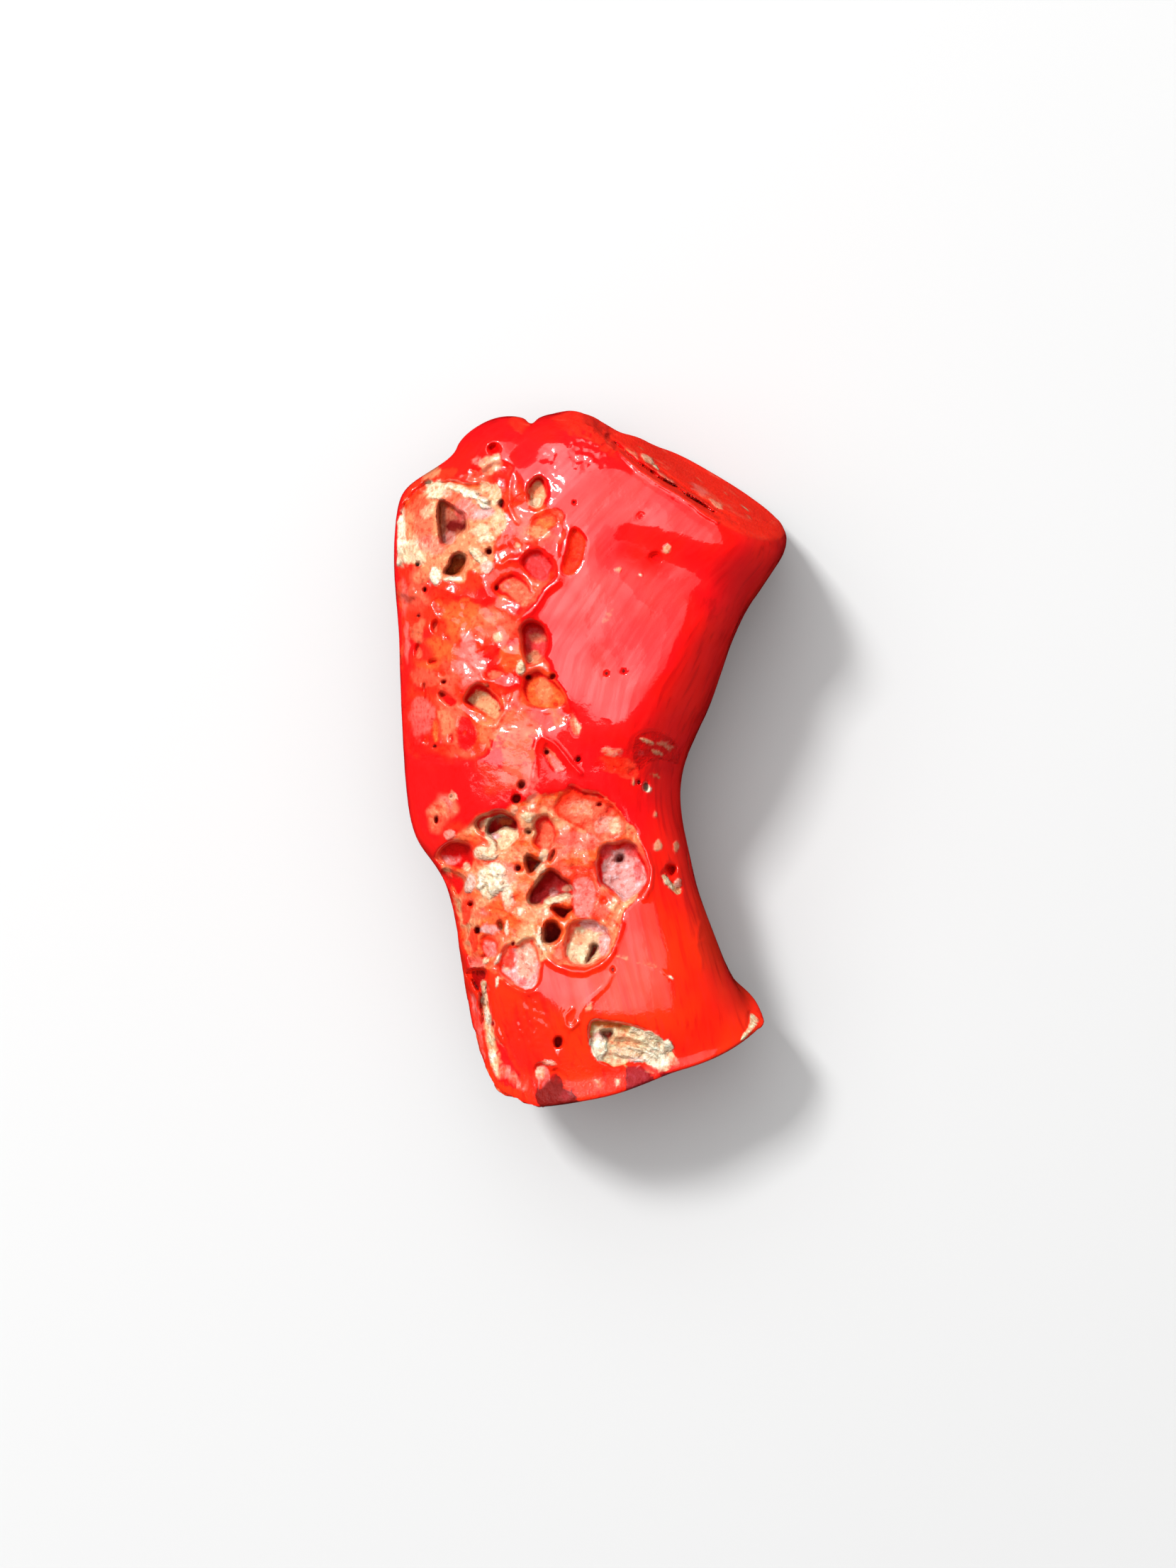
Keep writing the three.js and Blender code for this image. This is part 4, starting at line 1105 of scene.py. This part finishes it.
def slope_at(field, points):
    """The direction in which a field grows at points, and how fast."""
    slope = np.zeros((len(points), 3))
    for axis in range(3):
        ahead = np.zeros(3)
        ahead[axis] = FIELD_STEP
        slope[:, axis] = value_at(field, points + ahead) - value_at(field, points - ahead)
    slope /= 2 * FIELD_STEP
    speed = np.maximum(np.linalg.norm(slope, axis=1), 0.2)
    return slope / speed[:, None], speed


# The grid's own steps are evened out by moving each point onto the skin.
outward, steepness = slope_at(coral, coral_points)
coral_points -= outward * (value_at(coral, coral_points) / steepness)[:, None]
mesh = bpy.data.meshes.new("coral")
mesh.from_pydata((coral_points * MM).tolist(), [], coral_quads.tolist())
mesh.update()
piece = bpy.data.objects.new("coral", mesh)
bpy.context.scene.collection.objects.link(piece)

MOST_TRIANGLES = 196000
thin_out = piece.modifiers.new("thin_out", "DECIMATE")
thin_out.ratio = MOST_TRIANGLES / (2 * len(coral_quads))
bpy.context.view_layer.update()
evaluated = piece.evaluated_get(bpy.context.evaluated_depsgraph_get())
thinned = bpy.data.meshes.new_from_object(evaluated)
piece.modifiers.clear()
piece.data = thinned
bpy.data.meshes.remove(mesh)

points = np.zeros(3 * len(thinned.vertices))
thinned.vertices.foreach_get("co", points)
points = points.reshape(-1, 3) / MM
normals, _ = slope_at(coral, points)
for polygon in thinned.polygons:
    polygon.use_smooth = True
thinned.normals_split_custom_set_from_vertices(normals.tolist())

# What the material needs to know at each point
px, py, pz = points.T
skin_ways, _ = slope_at(facing, points)
seen = seen_share(skin_ways[:, 2], px, py, pz)
laid = np.concatenate([stain[..., :3] * stain[..., 3:], stain[..., 3:]], axis=2)
stain_here = on_map(laid, px, py, pz) * seen[:, None]
dull_here = on_map(dull, px, py, pz) * seen
crust_here = on_map(crust, px, py, pz) * seen
below = np.clip(-value_at(skin, points), 0, None)


def paint_points(colour, share):
    """Lays a colour over the points' own."""
    share = np.clip(share, 0, 1)[:, None]
    kept = stain_here[:, 3:] * (1 - share)
    total = kept + share
    share_of_kept = kept / np.maximum(total, 0.001)
    old = stain_here[:, :3] / np.maximum(stain_here[:, 3:], 0.001)
    mixed = old * share_of_kept + np.array(COLOURS[colour]) * (1 - share_of_kept)
    stain_here[:, :3] = mixed * total
    stain_here[:, 3:] = total


# The weathered patches on the hidden sides, and the borings' walls and floors
WEATHERED_DULLNESS = 0.35
BORING_DULLNESS = 0.5
weathered = worn_share(px, py, pz) * (1 - seen)
for layer, colour in enumerate(("ember", "salmon", "orange", "peach", "garnet")):
    blot = rough(px, py, pz, 1.1, 4, 50 + layer)
    paint_points(colour, weathered * (0.8 if layer == 0 else 0.8 * step_up(blot, 0.15, 0.4)))
dull_here = np.maximum(dull_here, WEATHERED_DULLNESS * weathered)
for point, across, along, normal, depth, colours in marks:
    away = points - point
    r = np.sqrt((away @ across) ** 2 + (away @ along) ** 2)
    near = np.abs(away @ normal) < depth + 1.0
    cutting = near * step_up(-(r - 1.12), 0.0, 0.2) * step_up(below, 0.03, 0.14)
    paint_points(colours[0], cutting)
    paint_points(colours[1], cutting * step_up(below / depth, 0.6, 0.85))
    dull_here = np.maximum(dull_here, BORING_DULLNESS * cutting)

# The two sawn faces: places on them and the directions that they face
SAWN_FACES = (
    ((5.64, 13.71, 5.72), (0.499, 0.827, 0.261)),
    ((1.60, -14.65, 4.90), (0.176, -0.870, -0.461)),
)
NEAR_SAWN_FACE = 1.6
sawn = np.zeros(len(points))
ring = np.zeros(len(points))
for place, way in SAWN_FACES:
    way = np.array(way) / np.linalg.norm(way)
    away = points - np.array(place)
    flat = step_up(normals @ way, 0.80, 0.93) * (np.abs(away @ way) < NEAR_SAWN_FACE)
    middle = np.linalg.norm(away - np.outer(away @ way, way), axis=1)
    sawn = np.maximum(sawn, flat)
    ring = np.where(flat > 0, middle, ring)

# Places along the branch as it grew, so that its growth lines follow its bend: how far across it
# from a line up its middle, and how far along that line
MIDDLE_LINE = [
    (900, 1600), (850, 1400), (802, 1200), (785, 1060), (815, 930), (895, 810), (1000, 700), (1110, 600),
]
u, v = place_in_photo(px, py, pz)
nearest = np.full(len(points), np.inf)
across_here = np.zeros(len(points))
along_here = np.zeros(len(points))
passed = 0.0
for start, end in zip(np.array(MIDDLE_LINE[:-1], float), np.array(MIDDLE_LINE[1:], float)):
    length = np.linalg.norm(end - start)
    way = (end - start) / length
    du, dv = u - start[0], v - start[1]
    along = np.clip(du * way[0] + dv * way[1], 0, length)
    away = np.hypot(du - along * way[0], dv - along * way[1])
    nearer = away < nearest
    nearest = np.minimum(nearest, away)
    across_here[nearer] = (away * np.sign(du * way[1] - dv * way[0]))[nearer]
    along_here[nearer] = passed + along[nearer]
    passed += length
grown_here = np.stack([across_here * MM_PER_PIXEL, along_here * MM_PER_PIXEL, pz], axis=1)


def keep(name, kind, values):
    """Stores values at the mesh's points, for the material to read."""
    layer = thinned.attributes.new(name, kind, "POINT")
    field = {"FLOAT_COLOR": "color", "FLOAT_VECTOR": "vector", "FLOAT": "value"}[kind]
    layer.data.foreach_set(field, values.astype(np.float32).ravel())


stain_here[:, :3] /= np.maximum(stain_here[:, 3:], 0.001)
keep("stain", "FLOAT_COLOR", stain_here)
keep("dull", "FLOAT", dull_here)
keep("crust", "FLOAT", crust_here)
keep("below", "FLOAT", below)
keep("sawn", "FLOAT", sawn)
keep("ring", "FLOAT", ring)
keep("grown", "FLOAT_VECTOR", grown_here)

# The material, polished coral: clouds of red under a clear gloss, and duller where it is worn
material = bpy.data.materials.new("polished_coral")
material.use_nodes = True
nodes = material.node_tree.nodes
links = material.node_tree.links
shader = nodes["Principled BSDF"]


def node(kind, inputs, **settings):
    """A shader node. Each input is a number, a colour or another node's output."""
    made = nodes.new("ShaderNode" + kind)
    for name, value in settings.items():
        setattr(made, name, value)
    for name, value in inputs.items():
        if isinstance(value, bpy.types.NodeSocket):
            links.new(value, made.inputs[name])
        else:
            made.inputs[name].default_value = value
    return made


def stored(name, output="Fac"):
    """What keep() has stored under a name."""
    return node("Attribute", {}, attribute_name=name).outputs[output]


def noise(place, size, detail=3.0, output="Fac"):
    """Noise whose lumps have a size in millimetres."""
    made = node("TexNoise", {"Vector": place, "Scale": 1 / size, "Detail": detail})
    return made.outputs[output]


def calculated(operation, a, b=0.0, c=0.0):
    """The result of a sum on up to three values."""
    made = node("Math", {0: a, 1: b, 2: c}, operation=operation)
    return made.outputs[0]


def between(value, low, high, out_low=0.0, out_high=1.0):
    """A value taken from one range to another, smoothly and no further."""
    inputs = {"Value": value, "From Min": low, "From Max": high, "To Min": out_low, "To Max": out_high}
    made = node("MapRange", inputs, interpolation_type="SMOOTHSTEP")
    return made.outputs["Result"]


def blend(share, a, b, kind="MIX"):
    """A share of the second colour laid over the first."""
    made = node("Mix", {0: share, 6: a, 7: b}, data_type="RGBA", blend_type=kind)
    return made.outputs[2]


def opaque(colour):
    """A colour as the nodes want it, with nothing showing through."""
    return (*colour, 1.0)


to_mm = node("VectorMath", {0: node("TexCoord", {}).outputs["Object"], 3: 1 / MM}, operation="SCALE")
place = to_mm.outputs[0]
grown_place = stored("grown", "Vector")
stretched = node("VectorMath", {0: grown_place, 1: (1.0, 0.09, 1.0)}, operation="MULTIPLY")
along_growth = stretched.outputs[0]

# The polished red: deeper and brighter clouds, warmer towards the lower end, with growth lines
# along the branch
scarlet = opaque((0.60, 0.003, 0.001))
crimson = opaque((0.54, 0.001, 0.003))
reds = blend(between(noise(place, 3.2), 0.35, 0.68), scarlet, crimson)
clouds = between(noise(place, 0.8, 4.0), 0.50, 0.75, 0.0, 0.5)
reds = blend(clouds, reds, opaque((0.60, 0.004, 0.004)))
WARM_UP_TO = 7.0  # millimetres along the branch
NOT_WARM_FROM = 17.0
from_lower_end = node("SeparateXYZ", {0: grown_place}).outputs["Y"]
warm = between(from_lower_end, NOT_WARM_FROM, WARM_UP_TO)
warm = calculated("MULTIPLY", warm, between(noise(place, 4.0), 0.30, 0.60, 0.35, 1.0))
reds = blend(warm, reds, opaque((0.60, 0.015, 0.001)))
lines = noise(along_growth, 0.36, 3.0)
reds = blend(between(lines, 0.50, 0.70, 0.0, 0.55), reds, opaque((0.34, 0.0005, 0.001)))
reds = blend(between(lines, 0.46, 0.28, 0.0, 0.25), reds, opaque((0.66, 0.010, 0.008)))

# The sawn faces: paler growth rings and the saw's scratches
ringed = calculated("ADD", stored("ring"), calculated("MULTIPLY", noise(place, 1.8), 1.6))
rings = calculated("SINE", calculated("MULTIPLY", ringed, 9.0))
sawn_red = opaque((0.56, 0.012, 0.003))
sawn_pale = opaque((0.60, 0.060, 0.030))
cut_red = blend(between(noise(place, 1.1, 4.0), 0.56, 0.78), sawn_red, sawn_pale)
cut_red = blend(between(rings, 0.1, 1.0, 0.0, 0.35), cut_red, opaque((0.48, 0.002, 0.001)))
reds = blend(calculated("MULTIPLY", stored("sawn"), 0.9), reds, cut_red)

# Stains, with a finer grain of their own
stained = node("Attribute", {}, attribute_name="stain")
fine = noise(place, 0.24, 6.0)
unworn = between(stored("dull"), 0.1, 0.3)
pale_grains = calculated("MULTIPLY", between(fine, 0.52, 0.70, 0.0, 0.8), unworn)
speckled = blend(pale_grains, stained.outputs["Color"], opaque((1.15, 1.9, 2.2)), "MULTIPLY")
red_grains = between(fine, 0.47, 0.33, 0.0, 0.6)
speckled = blend(red_grains, speckled, opaque((0.76, 0.20, 0.16)), "MULTIPLY")
ragged = calculated("MULTIPLY_ADD", fine, 0.9, -0.45)
amount = between(calculated("ADD", stained.outputs["Alpha"], ragged), 0.2, 0.8)
colour = blend(amount, reds, speckled)
crusty = stored("crust")
grit = between(noise(place, 0.22, 5.0), 0.35, 0.6)
crust_colour = blend(grit, opaque((0.26, 0.15, 0.07)), opaque((0.50, 0.44, 0.34)))
colour = blend(calculated("MULTIPLY", crusty, 0.45), colour, crust_colour)
# Painted shade: the deeper a place lies below the old skin, the darker red its colour is made.
painted_depth_shade = between(stored("below"), 0.5, 1.8, 0.0, 0.5)
colour = blend(painted_depth_shade, colour, opaque((0.45, 0.02, 0.02)), "MULTIPLY")
links.new(colour, shader.inputs["Base Color"])

# The gloss is what the polishing left on top: none in the borings and the crust, little where worn
deep = between(stored("below"), 0.25, 0.8)
unpolished = calculated("MAXIMUM", calculated("MAXIMUM", deep, crusty), stored("dull"))
unpolished = calculated("MAXIMUM", unpolished, calculated("MULTIPLY", stored("sawn"), 0.6))
uneven = calculated("MULTIPLY_ADD", noise(place, 0.5), 0.2, -0.1)
polish = between(calculated("ADD", unpolished, uneven), 0.75, 0.1)
smears = node("VectorMath", {0: along_growth, 1: (1.0, 1.0, 0.4)}, operation="MULTIPLY").outputs[0]
broad_buffing = between(noise(place, 2.4, 4.0), 0.36, 0.62, 0.62, 1.0)
fine_buffing = between(noise(smears, 0.40, 5.0), 0.36, 0.62, 0.62, 1.0)
buffed = calculated("MULTIPLY", broad_buffing, fine_buffing)
links.new(calculated("MULTIPLY", polish, buffed), shader.inputs["Coat Weight"])
roughness = calculated("MULTIPLY_ADD", noise(place, 0.5, 4.0), 0.2, 0.35)
roughness = calculated("MULTIPLY_ADD", calculated("MAXIMUM", deep, crusty), 0.4, roughness)
links.new(roughness, shader.inputs["Roughness"])
shader.inputs["Specular IOR Level"].default_value = 0.06
shader.inputs["Coat IOR"].default_value = 1.65
shader.inputs["Coat Roughness"].default_value = 0.1

# Fine relief: growth lines, a faint orange peel on the polish, grit in the crust
height = calculated("MULTIPLY", lines, 0.008)
height = calculated("MULTIPLY_ADD", noise(place, 0.45, 3.0), 0.012, height)
pitted = calculated("MULTIPLY", noise(place, 0.14, 3.0), stored("dull"))
height = calculated("MULTIPLY_ADD", pitted, 0.045, height)
grainy = calculated("MULTIPLY", fine, stored("dull"))
height = calculated("MULTIPLY_ADD", grainy, 0.10, height)
gritty = calculated("MULTIPLY", noise(place, 0.2, 5.0), crusty)
height = calculated("MULTIPLY_ADD", gritty, 0.12, height)
scratched = node("VectorMath", {0: place, 1: (1.0, 1.0, 0.06)}, operation="MULTIPLY")
saw_marks = calculated("MULTIPLY", noise(scratched.outputs[0], 0.12, 2.0), stored("sawn"))
height = calculated("MULTIPLY_ADD", saw_marks, 0.03, height)
bump = node("Bump", {"Height": height, "Distance": MM, "Strength": 1.0})
links.new(bump.outputs["Normal"], shader.inputs["Normal"])
links.new(bump.outputs["Normal"], shader.inputs["Coat Normal"])
thinned.materials.append(material)

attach(piece, "root")
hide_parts("coral_branch")

# The floor and the lights
#
# A plain sheet of pale paper. A wide soft light overhead, bright on the left and dimmer in steps to
# the right, is thrown back by the polish as a pink veil, and a small lamp at the upper left makes
# the glints. The paper and the room don't show in the gloss, so that the sides stay deep red.

FLOOR_SIZE = 1.6
PAPER_GREY = 0.30
PAPER_ROUGHNESS = 0.9
floor_mesh = bpy.data.meshes.new("floor")
half = FLOOR_SIZE / 2
floor_mesh.from_pydata(
    [(-half, -half, 0), (half, -half, 0), (half, half, 0), (-half, half, 0)],
    [],
    [(0, 1, 2, 3)],
)
floor = bpy.data.objects.new("floor", floor_mesh)
bpy.context.scene.collection.objects.link(floor)
paper = bpy.data.materials.new("paper")
paper.use_nodes = True
paper_shader = paper.node_tree.nodes["Principled BSDF"]
paper_shader.inputs["Base Color"].default_value = (PAPER_GREY, PAPER_GREY, PAPER_GREY, 1)
paper_shader.inputs["Roughness"].default_value = PAPER_ROUGHNESS
floor_mesh.materials.append(paper)
floor.visible_glossy = False


def softbox(name, place, size, power, aim):
    """A rectangular lamp at a place in metres, turned to shine on another."""
    data = bpy.data.lights.new(name, "AREA")
    data.shape = "RECTANGLE"
    data.size, data.size_y = size
    data.energy = power
    lamp = bpy.data.objects.new(name, data)
    lamp.location = place
    way = Vector(aim) - Vector(place)
    lamp.rotation_euler = way.to_track_quat("-Z", "Y").to_euler()
    bpy.context.scene.collection.objects.link(lamp)


KEY_PLACE = (-0.25, 0.25, 0.45)
KEY_SIZE = (0.10, 0.10)
KEY_POWER = 5.5
softbox("key", KEY_PLACE, KEY_SIZE, KEY_POWER, (0, 0, WIDEST_PLANE * MM))
OVERHEAD_BRIGHTNESS = 10.2
OVERHEAD_Y = 0.35
OVERHEAD_HEIGHT = 0.5
OVERHEAD_LONG = 1.1
# Its strips from left to right: where each starts and ends, and how bright it is beside the first
OVERHEAD_STRIPS = ((-0.69, 0.06, 1.0), (0.06, 0.24, 0.62), (0.24, 0.52, 0.34))
for number, (start, end, share) in enumerate(OVERHEAD_STRIPS):
    middle = (start + end) / 2
    strip_size = (end - start, OVERHEAD_LONG)
    power = OVERHEAD_BRIGHTNESS * share * (end - start) * OVERHEAD_LONG
    above_strip = (middle, OVERHEAD_Y, OVERHEAD_HEIGHT)
    below_strip = (middle, OVERHEAD_Y, 0)
    softbox("overhead_" + str(number + 1), above_strip, strip_size, power, below_strip)
ROOM_LIGHT = 0.48
world = bpy.data.worlds.new("studio")
bpy.context.scene.world = world
world.use_nodes = True
room = world.node_tree.nodes["Background"]
room.inputs["Color"].default_value = (1, 1, 1, 1)
room.inputs["Strength"].default_value = ROOM_LIGHT
world.cycles_visibility.glossy = False
bpy.context.scene.view_settings.view_transform = "Standard"
